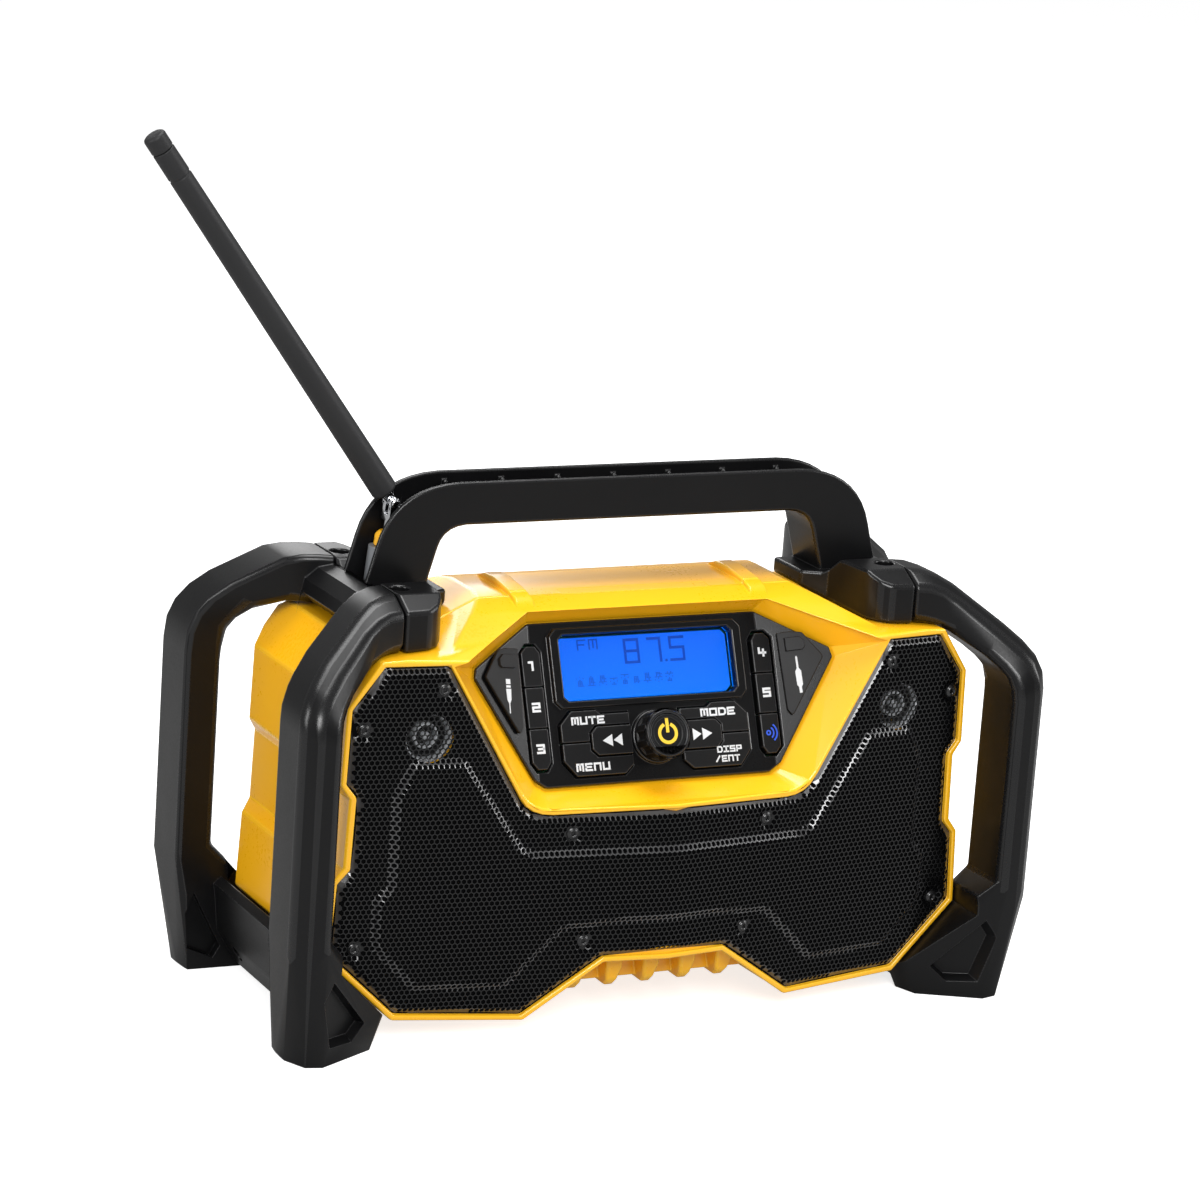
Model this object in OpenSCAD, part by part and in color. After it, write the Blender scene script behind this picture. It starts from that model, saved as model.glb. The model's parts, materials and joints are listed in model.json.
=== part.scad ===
// Jobsite radio with a roll cage, top handle and folding whip antenna.
// Millimetres. X to the right seen from the front, -Y is the front, +Z up.
// The origin is on the ground, midway between the four feet.

/* [Body] */
// Wall thickness of the two housings
wall = 3; // [2.6:0.1:3.4]
// Y of the joint between front and rear housing
part_y = -25; // [-26:0.5:-24]
// Y of the rear face of the tub
rear_y = 58; // [57:0.5:58]
// How far the rim stands proud of the grille
rim_proud = 1; // [0.8:0.1:1.2]

/* [Grille] */
// Thickness of the perforated sheet
grille_t = 1.2; // [1:0.1:1.4]
// Height of the embossed speaker fields
emboss_h = 2.2; // [1.6:0.1:2.6]

/* [Control panel] */
// Thickness of the panel plate
panel_t = 3; // [2.8:0.1:3]
// Gap round each key
key_gap = 0.35; // [0.3:0.05:0.5]
// How far the keys stand above the panel
key_h = 1.8; // [1.4:0.1:2]
// Radius of the tuning knob
knob_r = 12.6; // [12.2:0.1:13]
// Height of the knob's face above the panel
knob_h = 15; // [14.5:0.1:15.5]

/* [Handle] */
// Height of the handle's top edge
handle_z = 266; // [264:0.5:268]
// Half depth of the handle
handle_y = 14.5; // [14:0.1:15]
// Wall thickness of the handle channel
handle_t = 3; // [2.6:0.1:3]

/* [Roll cage] */
// Outer face of the upright bars, from the middle
cage_x = 204; // [203:0.5:205]
// Front face of the upright bars, from the middle
cage_y = 97; // [96:0.5:98]

/* [Antenna] */
// Lean of the whip to the left of upright, in degrees
lean = 36.2; // [30:0.5:45]
// Lean of the antenna's socket to the right, in degrees
mast_lean = 5; // [4:0.5:6]
// Length of the whip from its pivot
whip_len = 223; // [200:1:223]
// Radius of the whip at its lower end
whip_r = 6.6; // [6:0.1:6.8]
// Radius of the whip at its tip
tip_r = 5.6; // [5:0.1:6]

/* [Speakers] */
// Distance of each woofer from the middle
woofer_x = 110; // [108:0.5:112]
// Height of the woofers above the ground
woofer_z = 84; // [82:0.5:86]
// Radius of the woofer's basket
woofer_r = 38; // [36:0.5:39]

/* [Hidden] */
$fn = 48;
yellow = "#f4b31a";
black = "#1d1d1e";
dark = "#2b2b2d";
steel = "#c9ccd0";

// ---- helpers -------------------------------------------------------------
// An X-Z outline drawn out along Y, a Y-Z outline drawn out along X
module xz(y0, y1) translate([0, y1, 0]) rotate([90, 0, 0]) linear_extrude(height = y1 - y0) children();
module yz(x0, x1) translate([x0, 0, 0]) rotate([90, 0, 90]) linear_extrude(height = x1 - x0) children();
module xy(z0, z1) translate([0, 0, z0]) linear_extrude(height = z1 - z0) children();
// A right half outline made whole
function sym(h) = concat(h, [for (i = [len(h) - 1:-1:0]) [-h[i][0], h[i][1]]]);
// A counter-clockwise outline moved inwards by d
function inset(p, d) = let (n = len(p)) [for (i = [0:n - 1])
  let (a = p[(i + n - 1) % n], b = p[i], c = p[(i + 1) % n],
       u = (b - a) / norm(b - a), v = (c - b) / norm(c - b),
       m = [-u[1], u[0]], q = [-v[1], v[0]]) b + (m + q) * d / (1 + m * q)];
// Both sides of a piece that repeats left and right, or front and rear
module lr() { children(); mirror([1, 0, 0]) children(); }
module fb() { children(); mirror([0, 1, 0]) children(); }
// A closed ring-by-ring skin through rings of k points each
module skin(rings) {
  n = len(rings); k = len(rings[0]);
  polyhedron(points = [for (r = rings) for (p = r) p],
    faces = concat(
      [[for (i = [0:k - 1]) i]],
      [for (r = [0:n - 2]) for (i = [0:k - 1]) let (j = (i + 1) % k) each [
        [r * k + j, r * k + i, (r + 1) * k + j], [(r + 1) * k + j, r * k + i, (r + 1) * k + i]]],
      [[for (i = [k - 1:-1:0]) (n - 1) * k + i]]));
}
// An even curve from a to c that leaves and arrives along the lines to b
function bend(a, b, c, n) = [for (i = [0:n]) let (t = i / n) a * (1 - t) * (1 - t) + b * 2 * t * (1 - t) + c * t * t];
// The convex solid round a list of points
module wrap(p) hull() polyhedron(points = p, faces = [for (i = [0:len(p) - 3]) [i, i + 1, i + 2]]);

// ---- shared outlines -----------------------------------------------------
side_half = [[140.5, 12.5], [176, 46], [174, 84.5], [168.8, 91], [167.6, 126], [172.2, 132.6], [171, 170.5],
  [155, 193.5], [118, 195.5], [97, 206], [85, 211.5]];
tub_out = sym(concat([[56, 20], [73, 9]], side_half));
arch_out = sym(concat([[33, 37], [73, 9]], side_half));
front_slope = 0.115;
front_y0 = -86 - rim_proud;
function front_y(x) = front_y0 + front_slope * abs(x);
function profile(d) = [[-95, -5], [rear_y + 2, -5], [rear_y + 2, 189 - d], [rear_y - 3, 191 - d], [rear_y - 13, 200 - d],
  [20, 210.5 - d], [0, 213 - d], [part_y, 210.5 - d], [-39, 206.5 - d], [-60, 198 - d], [-72, 193.4 - d], [-95, 188 - d]];
function plan(d) = [[-190, front_y(190) + 1.7 * d], [0, front_y0 + 1.7 * d], [190, front_y(190) + 1.7 * d], [190, rear_y - 13 - d],
  [174 - d, rear_y - 6 - d], [165 - d, rear_y - d], [-165 + d, rear_y - d], [-174 + d, rear_y - 6 - d], [-190, rear_y - 13 - d]];
grille_dip = concat(bend([81.6, 122.8], [76.6, 114], [64.5, 114], 4), [[9, 115]]);
grille_out = sym(concat([[33.5, 39.8], [74.5, 11.6], [139.3, 15.4], [173.2, 47.4], [171.3, 83.4], [165.2, 90.2], [164, 126.6],
  [169.4, 133.2], [168.4, 170], [153.4, 190.8], [121, 190.8]], grille_dip));
field_out = sym([[25, 58], [56, 55.5], [84.5, 27], [131, 28], [152.5, 50], [153.5, 74.5], [146, 82.5], [146, 128],
  [137.5, 144.5], [111.5, 144.5], [79, 98], [72, 96]]);

// ---- control panel frame -------------------------------------------------
tilt = 23.37;
panel_o = [0, -49.87, 160];
module on_panel() translate(panel_o) rotate([90 - tilt, 0, 0]) children();
module pz(z0, z1) translate([0, 0, z0]) linear_extrude(height = z1 - z0) children();
// wing frame: its origin at the panel's lower corner, x outwards, y up the fold
wing_b = [66, -40]; wing_turn = 2.095; wing_fold = 17.6;
module on_wing() on_panel() translate([wing_b[0], wing_b[1], 0]) rotate([0, 0, wing_turn]) rotate([0, -wing_fold, 0]) children();
// The panel's outline, clockwise from its top right corner, and its height above the middle plane on the folded wings
panel_half = [[63, 42], [98.2, 20.3], [99.5, 14.9], [68.6, -35.8], [65.9, -37.5], [62, -40]];
panel_out = concat(panel_half, [for (i = [5:-1:0]) [-panel_half[i][0], panel_half[i][1]]]);
function fold_z(p) = max(0, (abs(p[0]) - 66 + 0.036585 * (p[1] + 40)) * 0.3176);
function panel_loop(g, z) = [for (p = inset(panel_out, -g)) [p[0], p[1], fold_z(p) + z]];
// from panel coordinates to the radio's frame
function world(p) = [p[0], panel_o[1] + p[1] * sin(tilt) - p[2] * cos(tilt), panel_o[2] + p[1] * cos(tilt) + p[2] * sin(tilt)];
lip = concat([[66, -39, 206], [119.5, -73.2, 190.4]], bend([81, -77.7, 125.5], [76.1, -78.4, 117.2], [65, -79.5, 117.2], 4));
function lip_at(i, dy) = [[lip[i][0], lip[i][1] + dy, lip[i][2]], [-lip[i][0], lip[i][1] + dy, lip[i][2]]];
function sink(g, z) = concat([for (p = panel_loop(-g, z)) world(p)], [for (i = [0:6]) each lip_at(i, 0)]);

strip_r = [[58.2, -27.5], [58.2, 27], [61, 31], [66.5, 31], [69.8, 27.5], [69.8, -27.5], [66.5, -31.5], [61, -31.5]];
mute_p = [[-52, -18.4], [-36.7, -18.4], [-36.7, -14.2], [-33.2, -10.8], [-14, -10.8], [-14, -5.2], [-29.5, -5.2], [-32, -3], [-45.5, -3], [-52, -9.5]];
menu_p = [[-52, -19], [-52, -27.5], [-45.5, -35.4], [-19, -35.4], [-14, -31], [-14, -26.3], [-33.2, -26.3], [-36.7, -22.9], [-36.7, -19]];
seek_p = [[-36.1, -22.6], [-32.9, -25.7], [-14, -25.7], [-14, -11.4], [-32.9, -11.4], [-36.1, -14.5]];
keys_open = [[-52.4, -28], [-45.7, -35.8], [-18.8, -35.8], [-13.6, -31.3], [-13.6, -4.8], [-29.3, -4.8], [-31.8, -2.6], [-45.8, -2.6], [-52.4, -9.2]];
flap_p = [[9.5, 30], [11.5, 27], [13, 28], [31.5, 54.2], [30.8, 56], [22.6, 67.8], [17.5, 69], [9.5, 69]];
knob_q = -18.2;
function window(g) = [[-45.5 + g, 1.8 + g], [45.5 - g, 1.8 + g], [48 - g, 4.3 + g], [48 - g, 32.4 - g], [45.5 - g, 34.9 - g], [-45.5 + g, 34.9 - g], [-48 + g, 32.4 - g], [-48 + g, 4.3 + g]];

// ---- housings ------------------------------------------------------------
module front_solid(d) intersection() {
  union() {
    xz(-95, -58 + d) polygon(inset(arch_out, d));
    xz(-60 + d, part_y) polygon(inset(tub_out, d));
  }
  xy(-10, 230) polygon(plan(d));
  yz(-200, 200) polygon(profile(d));
}
module ribs(y0, y1) for (i = [-2:2]) intersection() {
  yz(i * 20.5 - 5, i * 20.5 + 5) polygon([[y0, 39], [y0 + 0.8, 29], [y0 + 3.2, 21.5], [y0 + 6.5, 18], [y1, 18], [y1, 22.8], [y0 + 14.4, 22.8], [y0 + 14.4, 39]]);
  xz(-90, 90) polygon([for (p = [[-2.4, 18], [2.4, 18], [4.6, 29], [4.6, 40], [-4.6, 40], [-4.6, 29]]) [p[0] + i * 20.5, p[1]]]);
}
module speaker_hole() {
  translate([woofer_x, -64, woofer_z]) rotate([90, 0, 0]) cylinder(r = woofer_r - 4, h = 30);
  translate([129.5, -50, 155]) rotate([90, 0, 0]) cylinder(r = 13, h = 40);
}
// bosses of the housing screws, each with a web to the nearest wall
case_at = [[158, 62, 1], [156, 150, 1], [88, 22, 0]];
module case_bosses(y0, y1) lr() for (p = case_at) {
  translate([p[0], y0, p[1]]) rotate([-90, 0, 0]) cylinder(r = 5, h = y1 - y0);
  translate(p[2] == 1 ? [p[0], y0, p[1] - 2] : [p[0] - 2, y0, 5]) cube(p[2] == 1 ? [25, y1 - y0, 4] : [4, y1 - y0, p[1] - 5]);
}
screw_at = [[123.3, 179], [162.4, 160], [53.6, 104.3], [161.5, 50], [44.5, 48.6]];
module front_housing() color(yellow) {
  difference() {
    union() {
      difference() {
        front_solid(0);
        difference() {
          front_solid(wall);
          // the bezel's own wall
          wrap(concat(sink(3.2, -panel_t - 3), [for (i = [2:6]) for (s = [-1, 1]) [s * lip[i][0], -90, lip[i][2] - 3.2]]));
          // bosses that carry the speakers
          lr() translate([woofer_x, -64.8, woofer_z]) rotate([90, 0, 0]) cylinder(r = woofer_r + 3, h = 20);
          lr() translate([129.5, -58, 155]) rotate([90, 0, 0]) cylinder(r = 17, h = 30);
          case_bosses(part_y - 16, part_y + 1);
          // bosses for the front cage screws
          lr() translate([150, -40, 36]) rotate([0, -43.3, 0]) translate([0, 0, -20]) cylinder(r = 6, h = 26);
        }
        translate([0, part_y, 0]) xz(-0.01, 20) polygon(inset(tub_out, wall));
      }
      // front ends of the raised ridges
      lr() yz(60, 70) polygon([[part_y, 208.5], [part_y, 213], [-32, 210.6], [-36, 207.3], [-36, 205.5]]);
      ribs(-72, part_y);
    }
    // the sunk bezel
    wrap(concat(sink(0, -panel_t), [for (i = [0:6]) each lip_at(i, -40)]));
    // window behind the panel
    on_panel() pz(-8, 0) polygon(sym([[55, -36.6], [67.5, -32.6], [71, -29], [74, 0], [72, 30], [58, 37]]));
    lr() on_wing() pz(-12, 0.5) polygon([[9, 32], [20, 40], [24, 52], [19, 62], [9, 62]]);
    // seat of the grille
    difference() {
      intersection() {
        xz(-120, -40) polygon(grille_out);
        xy(0, 200) polygon([[-190, -130], [190, -130], [190, front_y(190) + rim_proud + grille_t],
          [0, front_y(0) + rim_proud + grille_t], [-190, front_y(190) + rim_proud + grille_t]]);
      }
      xz(-130, -30) polygon(sym(concat([for (i = [5:-1:0]) grille_dip[i]], [[120.9, 191], [100, 230]])));
    }
    lr() speaker_hole();
    for (s = screw_at) lr() translate([s[0], -60, s[1]]) rotate([90, 0, 0]) cylinder(r = 1.3, h = 40);
    lr() translate([160, -40, 30.9]) rotate([0, -43.3, 0]) translate([0, 0, -10]) cylinder(r = 2.05, h = 18);
    // screw holes for the housing screws, from behind
    lr() for (p = case_at) translate([p[0], part_y + 0.01, p[1]]) rotate([90, 0, 0]) cylinder(r = 1.6, h = 12);
  }
}
bay = [-86, 33, 36, 178];
module rear_solid(d) intersection() {
  xz(part_y, rear_y + 1) polygon(inset(tub_out, d));
  xy(-10, 230) polygon(plan(d));
  yz(-200, 200) polygon(profile(d));
}
module rear_housing() color(yellow) {
  difference() {
    union() {
      difference() {
        rear_solid(0);
        difference() {
          translate([0, -0.01, 0]) rear_solid(wall);
          translate([bay[0] + 1, 10, bay[2] + 3]) cube([bay[1] - bay[0] - 2, 60, bay[3] - bay[2] - 6]);
          translate([bay[0] - 3, rear_y - 6.2, bay[2] - 3]) cube([bay[1] - bay[0] + 6, 6, bay[3] - bay[2] + 6]);
          // bosses for the rear cage screws
          lr() translate([150, 40, 36]) rotate([0, -43.3, 0]) translate([0, 0, -20]) cylinder(r = 6, h = 26);
          case_bosses(part_y + 3.5, 90);
          // seat of the power inlet
          translate([100, rear_y - 12, 60]) rotate([-90, 0, 0]) cylinder(r = 12, h = 12);
        }
      }
      ribs(part_y - 16, 40);
      // raised ridges on top
      lr() yz(60, 70) polygon([[part_y, 208.5], [16, 208.5], [13, 212], [5, 215], [-5, 215.3], [part_y, 213], [part_y, 209]]);
      // hinge knuckles of the battery door
      for (x = [-75, 6.6]) translate([x, 61.5, 36]) rotate([0, 90, 0]) difference() {
        union() { cylinder(r = 3.4, h = 14); translate([-2, -6, 0]) cube([5.4, 6, 14]); }
        translate([0, 0, -1]) cylinder(r = 1.53, h = 16);
      }
    }
    ribs_cut();
    // shallow field between the ridges
    translate([-41, part_y - 1, 200]) rotate([7.1, 0, 0]) translate([0, 0, 10.05]) cube([82, 8.6, 10]);
    // battery bay
    translate([bay[0] + 3.5, 12.5, bay[2] + 5.5]) cube([bay[1] - bay[0] - 7, 60, bay[3] - bay[2] - 11]);
    // recess of the door
    translate([bay[0], rear_y - 3.2, bay[2] + 1.6]) cube([bay[1] - bay[0], 20, bay[3] - bay[2] - 1.6]);
    translate([-60.8, rear_y - 3.2, bay[2] - 4]) cube([67.2, 20, 8]);
    // power inlet
    translate([100, rear_y + 1, 60]) rotate([90, 0, 0]) cylinder(r = 6, h = 30);
    translate([100, rear_y + 1, 60]) rotate([90, 0, 0]) cylinder(r = 9.2, h = 4);
    // housing screws, from behind
    lr() for (p = case_at) {
      translate([p[0], part_y - 1, p[1]]) rotate([-90, 0, 0]) cylinder(r = 1.8, h = 90);
      translate([p[0], part_y + 12, p[1]]) rotate([-90, 0, 0]) cylinder(r = 3.5, h = 90);
    }
    // cage screws
    lr() translate([160, 40, 30.9]) rotate([0, -43.3, 0]) translate([0, 0, -10]) cylinder(r = 2.05, h = 18);
  }
}
module ribs_cut() translate([-60, part_y - 20, 5]) cube([120, 20, 40]);
module housing_gasket() color(dark) difference() {
  intersection() {
    xz(part_y + 1.4, part_y + 3.2) polygon(inset(tub_out, wall + 0.3));
    yz(-200, 200) polygon(profile(wall + 0.3));
  }
  intersection() {
    xz(part_y, part_y + 5) polygon(inset(tub_out, wall + 1.8));
    yz(-200, 200) polygon(profile(wall + 2.6));
  }
}
module housing_screws() color(steel) lr() for (p = case_at) {
  translate([p[0], part_y + 12.1, p[1]]) rotate([-90, 0, 0]) cylinder(r = 3.2, h = 2.4);
  translate([p[0], part_y - 9, p[1]]) rotate([-90, 0, 0]) cylinder(r = 1.5, h = 21.2);
}

// ---- grille --------------------------------------------------------------
function sheet(o, t) = [[-190, front_y(190) + rim_proud + o], [0, front_y0 + rim_proud + o], [190, front_y(190) + rim_proud + o],
  [190, front_y(190) + rim_proud + o + t], [0, front_y0 + rim_proud + o + t], [-190, front_y(190) + rim_proud + o + t]];
module speaker_grille() color("#1a1a1a") difference() {
  union() {
    intersection() { xz(-120, -40) polygon(inset(grille_out, 0.3)); xy(0, 200) polygon(sheet(-0.2, grille_t)); }
    intersection() { xz(-120, -40) polygon(field_out); xy(0, 200) polygon(sheet(-emboss_h, emboss_h)); }
  }
  intersection() { xz(-120, -40) polygon(inset(field_out, 2.2)); xy(0, 200) polygon(sheet(-emboss_h + grille_t, 12)); }
  for (s = screw_at) lr() translate([s[0], -40, s[1]]) rotate([90, 0, 0]) cylinder(r = 1.7, h = 60);
}
module grille_screws() color("#202022") for (s = screw_at) lr()
  translate([s[0], front_y(s[0]) + rim_proud - 0.2, s[1]]) rotate([90, 0, 0]) {
    translate([0, 0, 0.1 + 0.115 * 3.4]) cylinder(r = 3.4, h = 1.5);
    translate([0, 0, -9]) cylinder(r = 1.2, h = 9.6);
  }

// ---- control panel -------------------------------------------------------
module control_panel() color(black) difference() {
  union() {
    on_panel() let (a = panel_loop(0.25, 0), b = panel_loop(0.25, -panel_t), top = [[0, 4, 5, 6, 7, 11], [0, 1, 2], [0, 2, 3], [0, 3, 4], [11, 7, 8], [11, 8, 9], [11, 9, 10]])
      polyhedron(points = concat(a, b), faces = concat(top,
        [for (f = top) [for (i = [len(f) - 1:-1:0]) f[i] + 12]],
        [for (i = [0:11]) let (j = (i + 1) % 12) each [[j, i, i + 12], [j, i + 12, j + 12]]]));
    // raised frame round the display
    on_panel() pz(-1, 2.2) polygon([[-50, -1.6], [50, -1.6], [53.4, 2], [53.4, 34.6], [50, 38.2], [-50, 38.2], [-53.4, 34.6], [-53.4, 2]]);
    on_panel() translate([0, knob_q, -1]) cylinder(r = 13.4, h = 3.2);
  }
  on_panel() {
    pz(-10, 5) polygon(window(0));
    lr() pz(-10, 5) polygon(inset(strip_r, key_gap));
    lr() pz(-10, 5) polygon(keys_open);
    translate([0, knob_q, -10]) cylinder(r = 3.6, h = 20);
  }
  on_wing() pz(-10, 5) polygon([[15, 42], [21, 42], [21, 55.5], [15, 55.5]]);
  mirror([1, 0, 0]) on_wing() pz(-10, 5) polygon([[15, 42], [21, 42], [21, 55.5], [15, 55.5]]);
}
module lcd_lens() color("#6f95c8") on_panel() pz(-3.2, -1.9) polygon(window(0.2));
module lcd_module() color("#1173ef") on_panel() pz(-7.8, -3.4) polygon(window(1.2));
module keypad_board() color("#1f6b3a") on_panel() pz(-9.8, -8.2) polygon([[57, 35.5], [69, 31], [71, 0], [68, -34], [-68, -34], [-71, 0], [-69, 31], [-57, 35.5]]);
module key(p) color(black) on_panel() pz(-6.4, key_h) polygon(p);
module strip_key(lo, hi) key([for (p = inset(strip_r, 2 * key_gap)) [p[0], max(lo, min(hi, p[1]))]]);
module strip_top() key([[58.9, 10.3], [69.1, 10.3], [69.1, 27.2], [66.2, 30.2], [61.3, 30.2], [58.9, 26.8]]);
module strip_mid() key([[58.9, -10.2], [69.1, -10.2], [69.1, 9.8], [58.9, 9.8]]);
module strip_low() key([[58.9, -27.2], [61.3, -30.7], [66.2, -30.7], [69.1, -27.2], [69.1, -10.7], [58.9, -10.7]]);
module preset_key_1() mirror([1, 0, 0]) strip_top();
module preset_key_2() mirror([1, 0, 0]) strip_mid();
module preset_key_3() mirror([1, 0, 0]) strip_low();
module preset_key_4() strip_top();
module preset_key_5() strip_mid();
module source_key() strip_low();
module mute_key() key(mute_p);
module menu_key() key(menu_p);
module mode_key() mirror([1, 0, 0]) key(mute_p);
module display_key() mirror([1, 0, 0]) key(menu_p);
module seek_down_key() color(black) on_panel() pz(-6.4, key_h + 0.8) polygon(seek_p);
module seek_up_key() mirror([1, 0, 0]) seek_down_key();
module tuning_knob() color(black) on_panel() translate([0, knob_q, 0]) difference() {
  union() {
    translate([0, 0, 2.8]) cylinder(r = knob_r, h = knob_h - 3.8);
    translate([0, 0, knob_h - 1.01]) cylinder(r = knob_r - 1, h = 1.01);
  }
  for (a = [0:36:324]) rotate([0, 0, a]) translate([knob_r + 3, 0, 5]) cylinder(r = 4, h = 20, $fn = 24);
  translate([0, 0, knob_h - 3.2]) cylinder(r = 9.9, h = 5);
  translate([0, 0, 1]) cylinder(r = 3.05, h = 7.2);
}
module power_button() color(black) on_panel() translate([0, knob_q, knob_h - 1.9]) difference() {
  cylinder(r = 9.6, h = 1.5);
  translate([0, 0, 0.9]) cylinder(r = 7.8, h = 2);
}
module tuning_encoder() color(steel) on_panel() translate([0, knob_q, 0]) {
  translate([-6, -6, -7.8]) cube([12, 12, 4.6]);
  translate([0, 0, -3.4]) cylinder(r = 3, h = 11);
}
module flap() color(dark) on_wing() pz(0.35, 2.2) polygon(flap_p);
module aux_door() flap();
module usb_door() mirror([1, 0, 0]) flap();
module usb_socket() color(steel) mirror([1, 0, 0]) on_wing() difference() {
  translate([15.3, 42.3, -11]) cube([5.4, 12.9, 10.8]);
  translate([16, 43, -9.6]) cube([4, 11.5, 12]);
}
module aux_socket() color(dark) on_wing() difference() {
  translate([15.3, 44.3, -11]) cube([5.4, 8, 10.8]);
  translate([18, 48.3, -10]) cylinder(r = 1.8, h = 12);
}

// ---- handle --------------------------------------------------------------
handle_in = concat([[112.5, 205]], bend([104.6, 233.4], [102, 243.6], [90, 244.4], 5));
handle_top = concat([[146, 205], [141.5, 219.5]], bend([137.2, 235.5], [129.6, handle_z - 1.4], [95, handle_z], 9));
handle_shape = concat(handle_top, [for (i = [11:-1:0]) [-handle_top[i][0], handle_top[i][1]]],
  [for (i = [0:6]) [-handle_in[i][0], handle_in[i][1]]], [for (i = [6:-1:0]) handle_in[i]]);
channel = concat([[117, 200], [106.6, 239.5], [100, 246.5]], [[-100, 246.5], [-106.6, 239.5], [-117, 200], [-220, 200], [-220, 300], [220, 300], [220, 200]]);
saddle_plan = [[140.5, -61], [140.5, 61], [130, 60.5], [126, 51], [124, 40], [123, 25], [118.5, 18], [108, 14.5], [99, 14.5], [99, -14.5],
  [112, -21], [115.5, -30], [116.6, -44], [118.4, -51.5], [122, -57.2], [127.5, -60.6]];
saddle_side = [[-61, 180], [-61, 214.6], [-49, 221], [-27, 221], [-19, 213], [19, 213], [27, 220], [33, 221], [56.2, 221], [61, 218.4], [61, 180]];
module handle() color(black) difference() {
  union() {
    difference() {
      xz(-handle_y, handle_y) polygon(handle_shape);
      xz(-handle_y + handle_t, handle_y - handle_t) polygon(channel);
      xz(-30, 30) polygon([[-160, 190], [160, 190], [160, 207], [-160, 207]]);
    }
    lr() intersection() {
      xy(180, 221) polygon(saddle_plan);
      yz(90, 141) polygon(saddle_side);
    }
    for (i = [-3:3]) translate([i * 31, handle_y - handle_t - 2.6, 258.5]) cube([2.4, 3, 3.4]);
  }
  // room for the housings below
  xz(-100, 70) polygon(inset(tub_out, -0.4));
  lr() {
    // clear of the cage's top beam
    translate([140.6, -20, 190]) cube([20, 40, 27.4]);
    // channel foot stays open at the ends
    translate([118, -handle_y + handle_t, 214]) cube([60, 2 * (handle_y - handle_t), 60]);
    fb() {
      translate([134.5, -37.2, 213]) cylinder(r = 5, h = 20);
      translate([134.5, -37.2, 190]) cylinder(r = 2.2, h = 30);
      // pocket for the tongue of the roll cage
      translate([127, -46.5, 180]) cube([30, 19, 24.9]);
    }
    // slots in the inner side of the leg
    for (y = [-8, 3.4]) translate([96, y, 214]) rotate([0, -14, 0]) cube([9, 4.6, 26]);
  }
}
module handle_screws() color("#2f2f31") lr() fb() translate([134.5, -37.2, 0]) {
  translate([0, 0, 213]) cylinder(r = 4.4, h = 2.6);
  translate([0, 0, 197.5]) cylinder(r = 2, h = 16);
}

// ---- roll cage -----------------------------------------------------------
// ring: outer x, z, inner x, z, front y, rear y, chamfer across, chamfer deep, inner rear chamfer
cage_rings = [[140.9, 221, 140.9, 194.8, -61, -27, 6.4, 12, 4], [149, 220.6, 147.5, 194.5, -62.8, -28.8, 6.5, 11.4, 4],
  [156.5, 218.4, 152.5, 193.5, -65.2, -31, 6.6, 10.6, 4], [164.5, 213.8, 159.5, 191, -69, -34.6, 6.8, 9.6, 5],
  [187, 196, 173, 181.5, -82, -48, 7, 8, 7.5], [195, 188.6, 178.6, 176.3, -88.4, -54.4, 7, 7.3, 5], [200.2, 182, 182, 171.6, -93, -58.4, 7, 7, 5],
  [203.2, 174.6, 183.5, 166, -95.8, -60.2, 7, 7, 3], [cage_x, 166, 184, 159, -cage_y, -61, 7, 7, 2], [cage_x, 57, 184, 62, -cage_y, -61, 7, 7, 2]];
// how much higher the rear hoop's knee is, ring by ring
rear_lift = [0, 0.8, 2.6, 5, 7.5, 6.5, 4.5, 2.5, 0, 0];
function lifted(r, l) = [r[0], r[1] + l, r[2], r[3] + 0.95 * l, r[4], r[5], r[6], r[7], r[8]];
function toward(a, b, d) = a + (b - a) * d / norm(b - a);
// c scales the outer chamfer of the bars, up is added to the height
function cage_ring(r, c, up) = let (o = [r[0], r[1]], i = [r[2], r[3]], k = c, of = toward(o, i, r[6] * k),
    w = toward(i, o, 3.2), ir = toward(i, o, r[8]), s = toward(o, i, 2))
  [for (p = [[o[0], r[5] - 2, o[1]], [o[0], r[4] + r[7] * k, o[1]], [of[0], r[4], of[1]], [w[0], r[4], w[1]], [i[0], r[4] + 3.2, i[1]],
   [i[0], r[5] - 5, i[1]], [ir[0], r[5], ir[1]], [s[0], r[5], s[1]]]) p + [0, 0, up]];
// the foot's front face turns inwards
function face_y(x, z) = -91 - 0.532 * (x - 184) - 0.088 * z;
foot_field = [[181, 44.5], [187.5, 34.6], [181, 8.8], [166, 8], [157.4, 16]];
module foot(c) difference() {
  wrap(concat(cage_ring(cage_rings[9], c, 2), cage_ring(cage_rings[9], c, 0), [[199, -66, 1], [198.4, -76.4, 0], [192.6, -88.8, 0], [184, -91, 0],
    [153, face_y(153, 0), 0], [148.6, -62, 0], [153, -56, 0], [197, -57.5, 0],
    [147, face_y(147, 18.6), 18.6], [141.5, -66, 18.6], [142, -56, 18.6], [199, -58, 40], [187, -57, 40]]));
  // recessed fields front and rear
  wrap(concat([for (p = foot_field) [p[0], face_y(p[0], p[1]) - 1, p[1]]], [for (p = inset(foot_field, -3)) [p[0], face_y(p[0], p[1]) + 6, p[1]]]));
  xz(-62.5, -50) polygon([[195, 41], [199, 30], [197.5, 11.5], [183.5, 5.5], [180, 11.5]]);
}
module hoop(c, lift) {
  skin([for (i = [0:9]) cage_ring(lifted(cage_rings[i], lift * rear_lift[i]), c, 0)]);
  foot(c);
  // tongue under the saddle
  translate([127.6, -46, 197.4]) cube([18, 18, 6.9]);
}
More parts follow.
